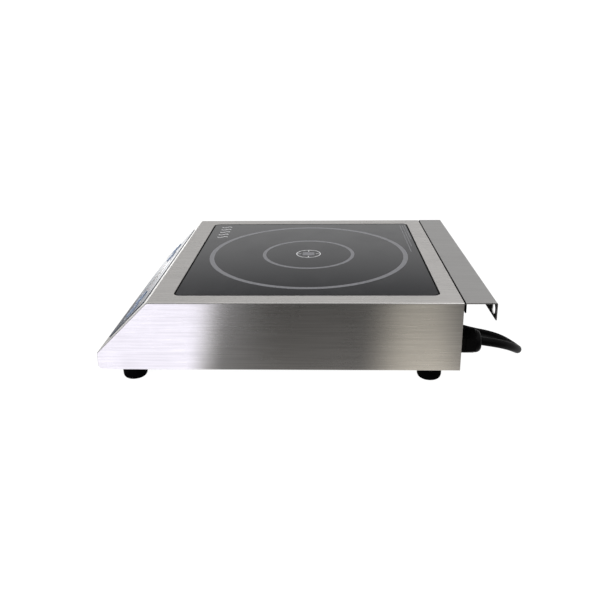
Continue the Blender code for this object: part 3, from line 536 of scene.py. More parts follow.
def rounded(corners, radii, steps=6):
    """A closed outline whose corners are arcs of the given radii; a radius of 0 keeps a corner sharp."""
    points = []
    for index, radius in enumerate(radii):
        before, corner, after = (
            Vector(corners[(index + shift) % len(corners)]) for shift in (-1, 0, 1)
        )
        if radius == 0:
            points.append(tuple(corner))
            continue
        back, ahead = (before - corner).normalized(), (after - corner).normalized()
        half = back.angle(ahead) / 2
        centre = corner + (back + ahead).normalized() * radius / math.sin(half)
        start = corner + back * radius / math.tan(half) - centre
        turn = start.angle_signed(corner + ahead * radius / math.tan(half) - centre)
        for step in range(steps + 1):
            points.append(tuple(centre + Matrix.Rotation(-turn * step / steps, 2) @ start))
    return points


def rectangle(size_x, size_y, centre=(0.0, 0.0), radius=0.0, steps=6):
    x, y = size_x / 2, size_y / 2
    corners = [(centre[0] + a * x, centre[1] + b * y) for a, b in ((1, 1), (-1, 1), (-1, -1), (1, -1))]
    return rounded(corners, [radius] * 4, steps)


def circle(radius, centre=(0.0, 0.0), sides=48, turn=0.0):
    angles = [turn + 2 * math.pi * i / sides for i in range(sides)]
    return [(centre[0] + radius * math.cos(a), centre[1] + radius * math.sin(a)) for a in angles]


def place_object(name, mesh, place, material=None):
    obj = bpy.data.objects.new(name, mesh)
    bpy.context.scene.collection.objects.link(obj)
    obj.matrix_world = place
    if material is not None:
        mesh.materials.clear()
        mesh.materials.append(material)
    return obj


def outline_mesh(loops, low, high):
    """A flat solid between two heights from closed outlines, the later ones being holes."""
    curve = bpy.data.curves.new("outline", "CURVE")
    curve.dimensions = "2D"
    curve.fill_mode = "BOTH"
    curve.extrude = (high - low) / 2
    for loop in loops:
        spline = curve.splines.new("POLY")
        spline.points.add(len(loop) - 1)
        for point, (x, y) in zip(spline.points, loop):
            point.co = (x, y, 0, 1)
        spline.use_cyclic_u = True
    flat = bpy.data.objects.new("outline", curve)
    bpy.context.scene.collection.objects.link(flat)
    graph = bpy.context.evaluated_depsgraph_get()
    mesh = bpy.data.meshes.new_from_object(flat.evaluated_get(graph))
    bpy.data.objects.remove(flat, do_unlink=True)
    bpy.data.curves.remove(curve)
    tidy = bmesh.new()
    tidy.from_mesh(mesh)
    bmesh.ops.remove_doubles(tidy, verts=tidy.verts, dist=1e-6)
    bmesh.ops.dissolve_limit(tidy, angle_limit=0.001, verts=tidy.verts, edges=tidy.edges)
    bmesh.ops.recalc_face_normals(tidy, faces=tidy.faces)
    bmesh.ops.translate(tidy, verts=tidy.verts, vec=(0, 0, (low + high) / 2))
    tidy.to_mesh(mesh)
    tidy.free()
    mesh.materials.clear()
    return mesh


def turned_mesh(profile, sides=64, closed=False):
    """A solid of revolution about Z from (radius, height) points."""
    made = bmesh.new()
    verts = [made.verts.new((x, 0, z)) for x, z in profile]
    edges = [made.edges.new(pair) for pair in zip(verts, verts[1:])]
    if closed:
        edges.append(made.edges.new((verts[-1], verts[0])))
    bmesh.ops.spin(
        made,
        geom=verts + edges,
        cent=(0, 0, 0),
        axis=(0, 0, 1),
        angle=2 * math.pi,
        steps=sides,
        use_merge=True,
    )
    bmesh.ops.remove_doubles(made, verts=made.verts, dist=1e-6)
    bmesh.ops.recalc_face_normals(made, faces=made.faces)
    mesh = bpy.data.meshes.new("turned")
    made.to_mesh(mesh)
    made.free()
    return mesh


def cutter(loop, low, high, place=FLAT):
    """A prism that is cut out of a piece and then taken away."""
    return place_object("cutter", outline_mesh([loop], low, high), place)


def smooth(obj, angle=35):
    obj.data.shade_smooth()
    obj.data.set_sharp_from_angle(angle=math.radians(angle))
    return obj


def soften(obj, width, segments=2, angle=40):
    """Rounds the sharp edges of a piece."""
    bevel = obj.modifiers.new("soft_edges", "BEVEL")
    bevel.width = width
    bevel.segments = segments
    bevel.limit_method = "ANGLE"
    bevel.angle_limit = math.radians(angle)
    return obj


def cut(obj, cutters, operation="DIFFERENCE"):
    """Cuts the cutters out of a piece, or joins them to it with UNION."""
    for cutter in cutters:
        step = obj.modifiers.new("cut", "BOOLEAN")
        step.operation = operation
        step.solver = "EXACT"
        step.object = cutter
    return obj


def settle(obj, cutters=(), angle=35):
    """Applies the modifiers, removes the cutters, and shades the result smooth up to an angle."""
    graph = bpy.context.evaluated_depsgraph_get()
    mesh = bpy.data.meshes.new_from_object(obj.evaluated_get(graph))
    obj.modifiers.clear()
    obj.data = mesh
    for cutter in cutters:
        bpy.data.objects.remove(cutter, do_unlink=True)
    smooth(obj, angle)
    even = obj.modifiers.new("even_shading", "WEIGHTED_NORMAL")
    even.keep_sharp = True
    even.weight = 100
    return obj


def ride_as(obj, body, replaced=()):
    """Puts a piece on its body. Its place goes into its mesh, so that the patterns follow metres."""
    if obj.type == "MESH":
        obj.data.transform(obj.matrix_world)
        obj.matrix_world = FLAT
    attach(obj, body)
    if replaced:
        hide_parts(*replaced)
    return obj


# Cord, coil and plug


def cord_route():
    """Out of the gland, round and down to the floor, and along the rear wall to the coil."""
    return [
        (GLAND_X, REAR_Y + GLAND_REACH + GAP, GLAND_Z),
        (0.1331, 0.2193, 0.0361),
        (0.1269, 0.2342, 0.0302),
        (0.1169, 0.2458, 0.0224),
        (0.1038, 0.2537, 0.0143),
        (0.0883, 0.2572, 0.0080),
        (0.0716, 0.2553, 0.0053),
        (0.0562, 0.2478, CORD_REST),
        (0.0443, 0.2355, CORD_REST),
        (0.0356, 0.2205, CORD_REST),
        (0.0253, 0.2067, CORD_REST),
        (0.0110, 0.1972, CORD_REST),
        (-0.0056, 0.1929, CORD_REST),
        (-0.0231, 0.1922, CORD_REST),
        (-0.0406, 0.1922, CORD_REST),
        (-0.0701, 0.1922, CORD_REST),
        (-0.0995, 0.1926, CORD_REST),
        (-0.1289, 0.1953, CORD_REST),
        (-0.1575, 0.1999, CORD_REST),
        (-0.1866, 0.2047, CORD_REST),
        (-0.2090, 0.2070, CORD_REST),
        (-0.2290, 0.2090, CORD_REST),
    ]


def eased(value, low, high):
    """0 up to low, 1 from high on, and an even curve between them."""
    share = min(1.0, max(0.0, (value - low) / (high - low)))
    return share * share * (3 - 2 * share)


def coil_place(degrees):
    """(radius, height) of the lead in the coil after so many degrees of turning."""
    inward = eased(degrees, 390, 450) - eased(degrees, 900, 1110)
    radius = COIL_WIDE - (COIL_WIDE - COIL_TIGHT) * inward
    beside = max(0.0, min(radius - COIL_TIGHT, COIL_WIDE - radius)) if degrees > 780 else 0.0
    rest = math.sqrt(CORD_DIAMETER**2 - beside**2)
    return radius, CORD_REST + rest * eased(degrees, 690, 780)


def coil_route():
    """Three and a quarter turns: two side by side on the floor, and the last over them."""
    points = []
    for degrees in range(90, 1261, 15):
        radius, height = coil_place(degrees)
        angle = math.radians(degrees)
        points.append((COIL_X + radius * math.cos(angle), COIL_Y + radius * math.sin(angle), height))
    return points


def coil_rows(degrees):
    """The places of all the coil's turns in the section at one angle."""
    return [coil_place(turn) for turn in range(degrees, 1261, 360) if turn >= 90]


def tail_route():
    """Off the top of the coil, down to the floor's height and into the plug's sleeve."""
    return [
        (-0.3028, 0.1400, 0.0145),
        (-0.3014, 0.1280, 0.0142),
        (-0.2997, 0.1190, 0.0132),
        (PLUG_X, 0.1115, 0.0125),
        (PLUG_X, 0.1020, 0.0114),
        (PLUG_X, 0.0900, 0.0108),
        (PLUG_X, 0.0780, SLEEVE_Z),
        (PLUG_X, SLEEVE_END - 0.0030, SLEEVE_Z),
    ]


def mains_lead():
    """The whole lead on one smooth line, from the gland to the plug."""
    curve = bpy.data.curves.new("mains_lead", "CURVE")
    curve.dimensions = "3D"
    curve.bevel_depth = CORD_DIAMETER / 2
    curve.bevel_resolution = 5
    curve.resolution_u = 4
    curve.use_fill_caps = True
    route = cord_route() + coil_route() + tail_route()
    spline = curve.splines.new("BEZIER")
    spline.bezier_points.add(len(route) - 1)
    for point, place in zip(spline.bezier_points, route):
        point.co = place
        point.handle_left_type = point.handle_right_type = "AUTO"
    obj = bpy.data.objects.new("mains_lead", curve)
    bpy.context.scene.collection.objects.link(obj)
    curve.materials.append(FINISHES["cord_rubber"])
    return ride_as(obj, "housing", ("mains_cord", "cord_coil", "cord_tail"))


# Housing sheet


def housing_outline():
    """Side view of the folded sheet, from the foot of the rear over the top to the foot of the nose."""
    corners = [
        (REAR_Y, FOOT_HEIGHT),
        (REAR_Y, HEIGHT),
        (FOLD_Y, HEIGHT),
        (NOSE_Y, NOSE_TOP),
        (NOSE_Y, FOOT_HEIGHT),
    ]
    return rounded(corners, [0, 0, 0.003, 0.005, 0.005], 10)


def slope_openings(clearance):
    """Cutters for the display window and the keys, through a sheet that lies on the slope."""
    loops = [rectangle(WINDOW_X + 2 * clearance, WINDOW_Y + 2 * clearance, (0, 0), 0.002)]
    for x in KEY_PLACES.values():
        loops.append(rectangle(KEY_X + 2 * clearance, KEY_Y + 2 * clearance, (x, 0), KEY_ROUND))
    return [cutter(loop, -0.003, 0.003, SLOPE) for loop in loops]


def housing_shell():
    """Top, slope, nose and sides folded from one sheet, with fine bends and a flange turned in below."""
    mesh = outline_mesh([housing_outline()], -WIDTH / 2, WIDTH / 2)
    obj = place_object("housing_shell", mesh, SIDE, FINISHES["stainless"])
    shell = bmesh.new()
    shell.from_mesh(mesh)
    rear = [face for face in shell.faces if (SIDE.to_3x3() @ face.normal).y > 0.99]
    bmesh.ops.delete(shell, geom=rear, context="FACES_ONLY")
    shell.to_mesh(mesh)
    shell.free()
    soften(obj, 0.0013, 6)
    sheet = obj.modifiers.new("sheet", "SOLIDIFY")
    sheet.thickness = SHEET
    sheet.offset = -1
    sheet.use_even_offset = True
    seat_x, seat_y = GLASS_X + 2 * JOINT_WIDTH, GLASS_Y + 2 * JOINT_WIDTH
    seat = rectangle(seat_x, seat_y, (0, GLASS_CENTRE_Y), GLASS_RADIUS + JOINT_WIDTH)
    cutters = [cutter(seat, HEIGHT - THROUGH, HEIGHT + THROUGH)]
    front, rear_end = NOSE_Y + FLANGE, REAR_Y + 0.01
    below = rectangle(WIDTH - 2 * FLANGE, rear_end - front, (0, (front + rear_end) / 2))
    cutters.append(cutter(below, FOOT_HEIGHT - 0.006, FOOT_HEIGHT + 0.004))
    cutters += slope_openings(0.0004)
    cut(obj, cutters)
    settle(obj, cutters, 30)
    ride_as(obj, "housing", ["casing"])


def folded(path, radius, thickness):
    """The outline of a bent strip of sheet, from the line that its left face follows."""
    lines = [Vector(p) for p in path]
    sides = [(b - a).normalized() for a, b in zip(lines, lines[1:])]
    normals = [Vector((side.y, -side.x)) for side in sides]
    moved = [lines[0] + normals[0] * thickness]
    for index in range(1, len(lines) - 1):
        bisector = (normals[index - 1] + normals[index]).normalized()
        moved.append(lines[index] + bisector * thickness / bisector.dot(normals[index]))
    moved.append(lines[-1] + normals[-1] * thickness)
    bends = len(path) - 2
    face = rounded(path, [0, *[radius] * bends, 0], 8)
    back = rounded([tuple(p) for p in moved], [0, *[radius - thickness] * bends, 0], 8)
    return face + back[::-1]


def rear_guard():
    """Folded spacer behind the top, with its screwed front leg and the holes in its rear leg."""
    path = [
        (GUARD_FRONT_Y, HEIGHT - GUARD_FRONT_DROP),
        (GUARD_FRONT_Y, HEIGHT),
        (GUARD_Y, HEIGHT),
        (GUARD_Y, HEIGHT - GUARD_REAR_DROP),
    ]
    mesh = outline_mesh([folded(path, GUARD_BEND, GUARD_SHEET)], -WIDTH / 2, WIDTH / 2)
    obj = place_object("guard_sheet", mesh, SIDE, GUARD_STEEL)
    cutters = []
    for side in (-1, 1):
        hole = circle(GUARD_HOLE, (side * GUARD_HOLE_X, HEIGHT - GUARD_HOLE_DROP), 64)
        cutters.append(cutter(hole, -GUARD_Y - THROUGH, -GUARD_Y + THROUGH, UPRIGHT))
        screw_hole = circle(0.0022, (side * GUARD_SCREW_X, GUARD_SCREW_Z), 24)
        cutters.append(cutter(screw_hole, -GUARD_FRONT_Y - THROUGH, -GUARD_FRONT_Y + THROUGH, UPRIGHT))
    cut(obj, cutters)
    settle(obj, cutters, 30)
    ride_as(obj, "housing", ["rear_guard"])
    paint_shade_inside(obj.data)


def paint_shade_inside(mesh):
    """Gives the guard's front leg and the faces inside its channel a flat black, as painted shade where they
    lie in shadow.
    """
    mesh.materials.append(SHADE_BLACK)
    channel = bmesh.new()
    channel.from_mesh(mesh)
    everything = channel.verts[:] + channel.edges[:] + channel.faces[:]
    bmesh.ops.bisect_plane(channel, geom=everything, plane_co=(0, 0, HEIGHT - GUARD_BEND), plane_no=(0, 0, 1))
    middle = (GUARD_FRONT_Y + GUARD_Y) / 2
    for face in channel.faces:
        centre, normal = face.calc_center_median(), face.normal
        inward = normal.y * (centre.y - middle) < 0 and abs(normal.y) > 0.3
        end_of_leg = abs(normal.x) > 0.9 and centre.y < middle and centre.z < HEIGHT - GUARD_BEND
        in_the_gap = normal.y < -0.5 and centre.y < middle
        # These faces lie in shadow; their black is painted shade.
        if inward or in_the_gap or end_of_leg or normal.z < -0.5:
            face.material_index = 1
    channel.to_mesh(mesh)
    channel.free()


def screw(name, place, size, replaced=()):
    """Pan-head screw with a cross recess. The head stands on +Z of its place, and the shank goes down."""
    head, rise, shank, reach = size
    brim, crown = rise * 0.35, rise * 0.65
    profile = [(0, rise)]
    steps = 6
    for step in range(1, steps + 1):
        angle = math.pi / 2 * step / steps
        profile.append((head * math.sin(angle), brim + crown * math.cos(angle)))
    profile += [(head, 0), (shank, 0), (shank, -reach), (0, -reach - shank)]
    obj = place_object(name, turned_mesh(profile, 28), place, SCREW_STEEL)
    long, narrow, recess = head * 1.15, head * 0.26, 0.0011
    cross = [rectangle(long, narrow), rectangle(narrow, long)]
    cutters = [cutter(bar, rise - recess, rise + 0.001, place) for bar in cross]
    cut(obj, cutters)
    settle(obj, cutters, 40)
    ride_as(obj, "housing", replaced)


def screws():
    """Screws of the guard, the rear wall and the flange below."""
    guard_face = GUARD_FRONT_Y + GUARD_SHEET + GAP
    for label, side in (("left", -1), ("right", 1)):
        place = Matrix.Translation((side * GUARD_SCREW_X, guard_face, GUARD_SCREW_Z)) @ ALONG_Y
        screw(f"guard_bolt_{label}", place, GUARD_SCREW, [f"guard_screw_{label}"])
        for level, z in (("low", 0.031), ("high", 0.070)):
            place = Matrix.Translation((side * 0.1565, REAR_Y - GAP, z)) @ ALONG_Y
            screw(f"wall_screw_{label}_{level}", place, SHEET_SCREW)
    flange_places = [(side * 0.158, y) for side in (-1, 1) for y in (-0.120, 0.010, 0.100)]
    for index, (x, y) in enumerate(flange_places):
        screw(f"flange_screw_{index + 1}", Matrix.Translation((x, y, FOOT_HEIGHT)) @ DOWN, SHEET_SCREW)


def feet():
    """Round rubber feet with a moulded bead, rounded below, each on its screw."""
    top, radius, edge = FOOT_HEIGHT - GAP, FOOT_RADIUS, 0.0004
    hole, well, well_height = 0.0045, 0.0058, 0.0075
    profile = [
        (hole, top),
        (radius - edge, top),
        (radius, top - edge),
        (radius - 0.0001, top - 0.0022),
        (radius - 0.0005, top - 0.0027),
    ]
    below_bead = radius - 0.0010
    steps = 12
    for step in range(steps + 1):
        angle = math.pi / 2 * step / steps
        reach = FOOT_SOLE + (below_bead - FOOT_SOLE) * math.cos(angle)
        profile.append((reach, FOOT_ROUND * (1 - math.sin(angle))))
    profile += [(well + edge, 0.0), (well, 0.0006), (well, well_height), (hole, well_height)]
    for name in ("front_left", "front_right", "rear_left", "rear_right"):
        low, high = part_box(f"foot_{name}")
        x, y = (low.x + high.x) / 2, (low.y + high.y) / 2
        mesh = turned_mesh(profile, 64, closed=True)
        place = Matrix.Translation((x, y, 0))
        obj = place_object(f"rubber_foot_{name}", mesh, place, FINISHES["foot_rubber"])
        ride_as(smooth(obj, 50), "housing", [f"foot_{name}"])
        head_seat = well_height - 0.0005
        screw(f"foot_screw_{name}", Matrix.Translation((x, y, head_seat)) @ DOWN, FOOT_SCREW)


# Glass and its prints


def glass_panel():
    loop = rectangle(GLASS_X, GLASS_Y, (0, GLASS_CENTRE_Y), GLASS_RADIUS, 12)
    mesh = outline_mesh([loop], HEIGHT - GLASS_THICK, HEIGHT)
    obj = place_object("glass_panel", mesh, FLAT, FINISHES["ceramic_glass"])
    settle(soften(obj, 0.0005, 3), (), 25)
    ride_as(obj, "housing", ["glass_plate"])


def printed(name, loop_sets, body, place, height, material):
    """Ink on a face: thin solids, each from an outline and its holes."""
    parts = bmesh.new()
    for loops in loop_sets:
        piece = outline_mesh(loops, height + 0.00002, height + 0.00007)
        parts.from_mesh(piece)
        bpy.data.meshes.remove(piece)
    mesh = bpy.data.meshes.new(name)
    parts.to_mesh(mesh)
    parts.free()
    return ride_as(place_object(name, mesh, place, material), body)


def band(mean, width, centre=(0.0, 0.0), sides=128):
    """A ring from its mean radius and its width."""
    return [circle(mean + width / 2, centre, sides), circle(mean - width / 2, centre, sides)]


def stroke(points, width):
    """A line of even width along its points."""
    line = [Vector(p) for p in points]
    left, right = [], []
    for index, point in enumerate(line):
        along = line[min(index + 1, len(line) - 1)] - line[max(index - 1, 0)]
        side = Vector((-along.y, along.x)).normalized() * width / 2
        left.append(tuple(point + side))
        right.append(tuple(point - side))
    return left + right[::-1]


def glass_prints():
    """Cooking zone rings, a centre mark, five heat waves in a corner and fine bars at the rear."""
    centre = (0.0, GLASS_CENTRE_Y)
    printed("ring_outer", [band(0.1222, 0.0058, centre, 192)], "housing", FLAT, HEIGHT, PRINT)
    printed("ring_inner", [band(0.0560, 0.0044, centre)], "housing", FLAT, HEIGHT, PRINT)
    printed("centre_square", [[rectangle(0.0125, 0.0150, centre, 0.002)]], "housing", FLAT, HEIGHT, PRINT)
    mark = [band(0.0150, 0.0011, centre, 72)]
    for x, y in ((1, 0), (0, 1), (-1, 0), (0, -1)):
        size = (0.0040, 0.0011) if x else (0.0011, 0.0040)
        mark.append([rectangle(*size, (0.0113 * x, GLASS_CENTRE_Y + 0.0113 * y))])
    printed("centre_mark", mark, "housing", FLAT, HEIGHT, PALE_PRINT)
    waves = []
    swing, length, steps = 0.0022, 0.0140, 16
    for index in range(5):
        middle = -0.127 + index * 0.0125
        points = [
            (middle + swing * math.sin(2 * math.pi * step / steps), -0.1150 + length * step / steps)
            for step in range(steps + 1)
        ]
        waves.append([stroke(points, 0.0016)])
    printed("heat_waves", waves, "housing", FLAT, HEIGHT, PALE_PRINT)
    bars = [
        [rectangle(far - near, 0.0009, ((far + near) / 2, y))]
        for near, far, y in (
            (-0.137, -0.008, 0.1450),
            (-0.137, -0.030, 0.1485),
            (-0.137, -0.063, 0.1520),
        )
    ]
    printed("rear_bars", bars, "housing", FLAT, HEIGHT, PRINT)


# Control panel


def key_cap(label, x):
    """Key with a softened cap, the rim that holds it behind the sheet, and its stem."""
    place = SLOPE @ Matrix.Translation((x, 0, 0))
    rim_top, rim_low, stem_low = -0.0013, -0.0025, -0.0095
    cap = outline_mesh([rectangle(KEY_X, KEY_Y, (0, 0), KEY_ROUND)], rim_low, KEY_TOP)
    obj = soften(place_object(f"key_cap_{label}", cap, place, FINISHES["key_film"]), 0.0005, 3)
    rim = outline_mesh([rectangle(KEY_X + 0.004, KEY_Y + 0.004, (0, 0), KEY_ROUND)], rim_low, rim_top)
    stem = outline_mesh([circle(0.002, sides=24)], stem_low, rim_low + 0.0004)
    others = [place_object("joined", rim, place), place_object("joined", stem, place)]
    cut(obj, others, "UNION")
    settle(obj, others, 30)
    ride_as(obj, f"key_{label}", [f"key_{label}"])


def key_symbols():
    """Minus, plus, a bar pattern for the functions and the usual switch symbol, each on its key."""
    line, reach = 0.0012, 0.0080
    arc = [
        (0.0036 * math.sin(a), 0.0036 * math.cos(a) - 0.0004)
        for a in (math.radians(40 + 280 * t / 24) for t in range(25))
    ]
    symbols = {
        "minus": [[rectangle(reach, line)]],
        "plus": [
            [rectangle(reach, line)],
            [rectangle(line, 0.0032, (0, 0.0023))],
            [rectangle(line, 0.0032, (0, -0.0023))],
        ],
        "function": [[rectangle(0.0080 - 0.0024 * i, line, (0, -0.0026 + 0.0026 * i))] for i in range(3)],
        "power": [[stroke(arc, line)], [rectangle(line, 0.0042, (0, 0.0026))]],
    }
    for label, loops in symbols.items():
        place = SLOPE @ Matrix.Translation((KEY_PLACES[label], 0, 0))
        printed(f"key_symbol_{label}", loops, f"key_{label}", place, KEY_TOP, DARK_INK)


def display_digits():
    """Four unlit seven-segment figures behind the window's face."""
    segments = []
    tall, wide, line = 0.0072, 0.0082, 0.0014
    for digit in range(4):
        x = (digit - 1.5) * 0.0145
        for level in (-1, 0, 1):
            segments.append([rectangle(wide - 2.2 * line, line, (x, level * tall), line * 0.45, 2)])
        for side in (-1, 1):
            for level in (-0.5, 0.5):
                centre = (x + side * (wide - line) / 2, level * tall)
                segments.append([rectangle(line, tall - 1.6 * line, centre, line * 0.45, 2)])
    printed("display_figures", segments, "housing", SLOPE, OVERLAY_TOP, DIM_SEGMENT)


def panel_prints():
    """Frame line round the window, fields round the keys, and the indicator lamps."""
    frame_line = [
        rectangle(WINDOW_X + 0.0080, WINDOW_Y + 0.0080, (0, 0), 0.004),
        rectangle(WINDOW_X + 0.0056, WINDOW_Y + 0.0056, (0, 0), 0.003),
    ]
    fields = [frame_line]
    for x in KEY_PLACES.values():
        outside = rectangle(KEY_X + 0.0070, KEY_Y + 0.0070, (x, 0), 0.005)
        inside = rectangle(KEY_X + 0.0050, KEY_Y + 0.0050, (x, 0), 0.004)
        fields.append([outside, inside])
    printed("panel_lines", fields, "housing", SLOPE, OVERLAY_TOP, SYMBOL_INK)
    lamp_places = [(x, y) for x in (-0.0520, 0.0520) for y in (-0.0080, 0.0, 0.0080)]
    lamp_places += [(KEY_PLACES[label], 0.0140) for label in ("power", "function")]
    lamps = [[circle(0.0016, place, 24)] for place in lamp_places]
    printed("indicator_lamps", lamps, "housing", SLOPE, OVERLAY_TOP, LAMP)


def controls():
    for label, x in KEY_PLACES.items():
        key_cap(label, x)
    key_symbols()
    display_digits()
    panel_prints()


# Gland


def gland():
    """Nylon gland: a softened hexagon body, a domed hexagon nut and the rubber insert at its mouth."""
    bore, corner = CORD_DIAMETER / 2 + GAP, 0.01445
    hexagon = [circle(corner, sides=6, turn=math.pi / 2), circle(bore)]
    axis = Matrix.Translation((GLAND_X, REAR_Y, GLAND_Z)) @ ALONG_Y
    nylon = FINISHES["black_nylon"]
    body = place_object("gland_base", outline_mesh(hexagon, GAP, 0.0085), axis, nylon)
    thread = place_object("joined", outline_mesh([circle(0.0098), circle(bore)], -0.0090, 0.0005), axis)
    cut(soften(body, 0.0009, 3), [thread], "UNION")
    settle(body, [thread], 30)
    ride_as(body, "housing", ["gland_body"])

    low = 0.0088
    nut = place_object("gland_cap", outline_mesh(hexagon, low, low + 0.0110), axis, nylon)
    shoulder, mouth, inner, collar = 0.0125, 0.0080, bore + 0.0012, 0.0016
    dome_low, dome_high = low + 0.0100, GLAND_REACH
    profile = [(inner, dome_high)]
    steps = 10
    for step in range(steps + 1):
        angle = math.pi / 2 * (1 - step / steps)
        rise = (dome_high - dome_low - collar) * math.sin(angle)
        profile.append((mouth + (shoulder - mouth) * math.cos(angle), dome_low + collar + rise))
    profile += [(shoulder, dome_low), (inner, dome_low)]
    dome = place_object("joined", turned_mesh(profile, 56, closed=True), axis)
    cut(soften(nut, 0.0009, 3), [dome], "UNION")
    settle(nut, [dome], 30)
    ride_as(nut, "housing", ["gland_nut"])

    hole, wall = CORD_DIAMETER / 2, bore + 0.0011
    high, deep = GLAND_REACH - 0.0005, 0.0200
    insert = [(hole, high), (wall, high - 0.0002), (wall, deep), (hole, deep)]
    obj = place_object("gland_insert", turned_mesh(insert, 48, closed=True), axis, FINISHES["foot_rubber"])
    ride_as(smooth(obj), "housing")


# Plug and tie


PLUG_LOW, PLUG_HIGH = 0.0001, 0.0230
PIN_X, PIN_Y = 0.0111, 0.0092
FUSE_Y = PLUG_Y - 0.0004


def plug_outline():
    """Broad at the pins' end, and narrowed by two slopes towards the sleeve."""
    half, neck, end, shoulder, head = 0.0245, 0.0130, 0.0230, 0.0080, 0.0260
    corners = [
        (PLUG_X - half, PLUG_Y - end),
        (PLUG_X + half, PLUG_Y - end),
        (PLUG_X + half, PLUG_Y + shoulder),
        (PLUG_X + neck, PLUG_Y + head),
        (PLUG_X - neck, PLUG_Y + head),
        (PLUG_X - half, PLUG_Y + shoulder),
    ]
    return rounded(corners, [0.008, 0.008, 0.010, 0.006, 0.006, 0.010], 10)


def plug_sleeve():
    """Ribbed sleeve that tapers along the cord."""
    start, widest, ribs = PLUG_Y + 0.0235, 0.0092, 7
    length = SLEEVE_END - start
    step = length / ribs
    profile = [(0.0, length)]
    for index in range(ribs, 0, -1):
        at = length * index / ribs
        radius = widest - 0.0028 * index / ribs
        profile += [
            (radius - 0.0009, at),
            (radius, at - 0.18 * step),
            (radius + 0.0002, at - 0.62 * step),
            (radius - 0.0009, at - 0.74 * step),
        ]
    profile += [(widest, 0.0), (0.0, 0.0)]
    place = Matrix.Translation((PLUG_X, start, SLEEVE_Z)) @ ALONG_Y
    return place_object("joined", turned_mesh(profile, 40), place)


def plug_moulding():
    """Moulded three-pin plug lying on its back, with finger grips and a ribbed sleeve."""
    mesh = outline_mesh([plug_outline()], PLUG_LOW, PLUG_HIGH)
    body = soften(place_object("plug_moulding", mesh, FLAT, FINISHES["plug_pvc"]), 0.0022, 5)
    sleeve = plug_sleeve()
    cut(body, [sleeve], "UNION")
    hollows = []
    for side in (-1, 1):
        for index in range(4):
            centre = (PLUG_X + side * 0.0247, PLUG_Y - 0.0135 + index * 0.0050)
            hollows.append(cutter(circle(0.0011, centre, 16), 0.004, 0.019))
    wells = ((0.0, -0.0130, 0.0040, 0.0080), (-PIN_X, PIN_Y, 0.0064, 0.0040), (PIN_X, PIN_Y, 0.0064, 0.0040))
    for x, y, size_x, size_y in wells:
        well = rectangle(size_x + 2 * GAP, size_y + 2 * GAP, (PLUG_X + x, PLUG_Y + y))
        hollows.append(cutter(well, PLUG_HIGH - 0.004, PLUG_HIGH + 0.006))
    cut(body, hollows)
    settle(body, [sleeve, *hollows], 30)
    return ride_as(body, "housing", ["plug_body"])


def fuse_cover():
    """Cover of the fuse between the plug's pins, with a slot for lifting it."""
    outline = rectangle(0.0230, 0.0070, (PLUG_X, FUSE_Y), 0.0012)
    mesh = outline_mesh([outline], PLUG_HIGH - 0.0004, PLUG_HIGH + 0.0005)
    cover = soften(place_object("fuse_cover", mesh, FLAT, FINISHES["plug_pvc"]), 0.0003, 2)
    slot = cutter(rectangle(0.0050, 0.0010, (PLUG_X, FUSE_Y)), PLUG_HIGH, PLUG_HIGH + 0.002)
    cut(cover, [slot])
    settle(cover, [slot], 30)
    return ride_as(cover, "housing")


def pin_sleeve(label, x):
    """Insulating collar round the foot of a pin."""
    centre = (PLUG_X + x, PLUG_Y + PIN_Y)
    loops = [rectangle(0.0068, 0.0044, centre, 0.0007, 3), rectangle(0.0065, 0.0041, centre, 0.0006, 3)]
    mesh = outline_mesh(loops, PLUG_HIGH - 0.001, PLUG_HIGH + 0.009)
    collar = place_object(f"pin_sleeve_{label}", mesh, FLAT, FINISHES["plug_pvc"])
    return ride_as(smooth(collar), "housing")


def plug():
    """The plug's moulding, its fuse cover and the collars of two pins."""
    return [
        plug_moulding(),
        fuse_cover(),
        pin_sleeve("neutral", -PIN_X),
        pin_sleeve("line", PIN_X),
    ]


def hull(points):
    """The convex outline round the points, anticlockwise."""
    points = sorted(set(points))
    halves = []
    for ordered in (points, points[::-1]):
        half = []
        for p in ordered:
            while len(half) > 1:
                (ax, ay), (bx, by) = half[-2], half[-1]
                if (bx - ax) * (p[1] - ay) - (by - ay) * (p[0] - ax) > 0:
                    break
                half.pop()
            half.append(p)
        halves.append(half[:-1])
    return halves[0] + halves[1]


def coil_tie(degrees=300):
    """Strap drawn tight round the turns of the coil."""
    around = []
    for reach, lowest in ((CORD_DIAMETER / 2 + 0.0007, 0.0001), (CORD_DIAMETER / 2 - 0.0001, 0.0004)):
        points = [point for turn in coil_rows(degrees) for point in circle(reach, turn, 36)]
        around.append([(x, max(y, lowest)) for x, y in hull(points)])
    mesh = outline_mesh(around, -0.0050, 0.0050)
    angle = math.radians(degrees)
    upright = Matrix(((1, 0, 0, 0), (0, 0, 1, 0), (0, 1, 0, 0), (0, 0, 0, 1)))
    place = Matrix.Translation((COIL_X, COIL_Y, 0)) @ Matrix.Rotation(angle, 4, "Z") @ upright
    obj = place_object("coil_tie", mesh, place, FINISHES["black_nylon"])
    return ride_as(smooth(obj, 30), "housing")


# Studio


def softbox(name, place, towards, size, power):
    """A soft light that shines on the hob but isn't mirrored in its steel and glass."""
    data = bpy.data.lights.new(name, "AREA")
    data.shape = "RECTANGLE"
    data.size, data.size_y = size
    data.energy = power
    obj = bpy.data.objects.new(name, data)
    bpy.context.scene.collection.objects.link(obj)
    obj.location = place
    obj.rotation_euler = (Vector(towards) - Vector(place)).to_track_quat("-Z", "Y").to_euler()
    obj.visible_camera = False
    obj.visible_glossy = False


def coordinates(tree, label):
    """X, Y and Z of a texture coordinate."""
    return add(tree, "ShaderNodeSeparateXYZ", {0: add(tree, "ShaderNodeTexCoord").outputs[label]}).outputs


def both(tree, a, b):
    """The product of two masks."""
    return calc(tree, "MULTIPLY", a, b)


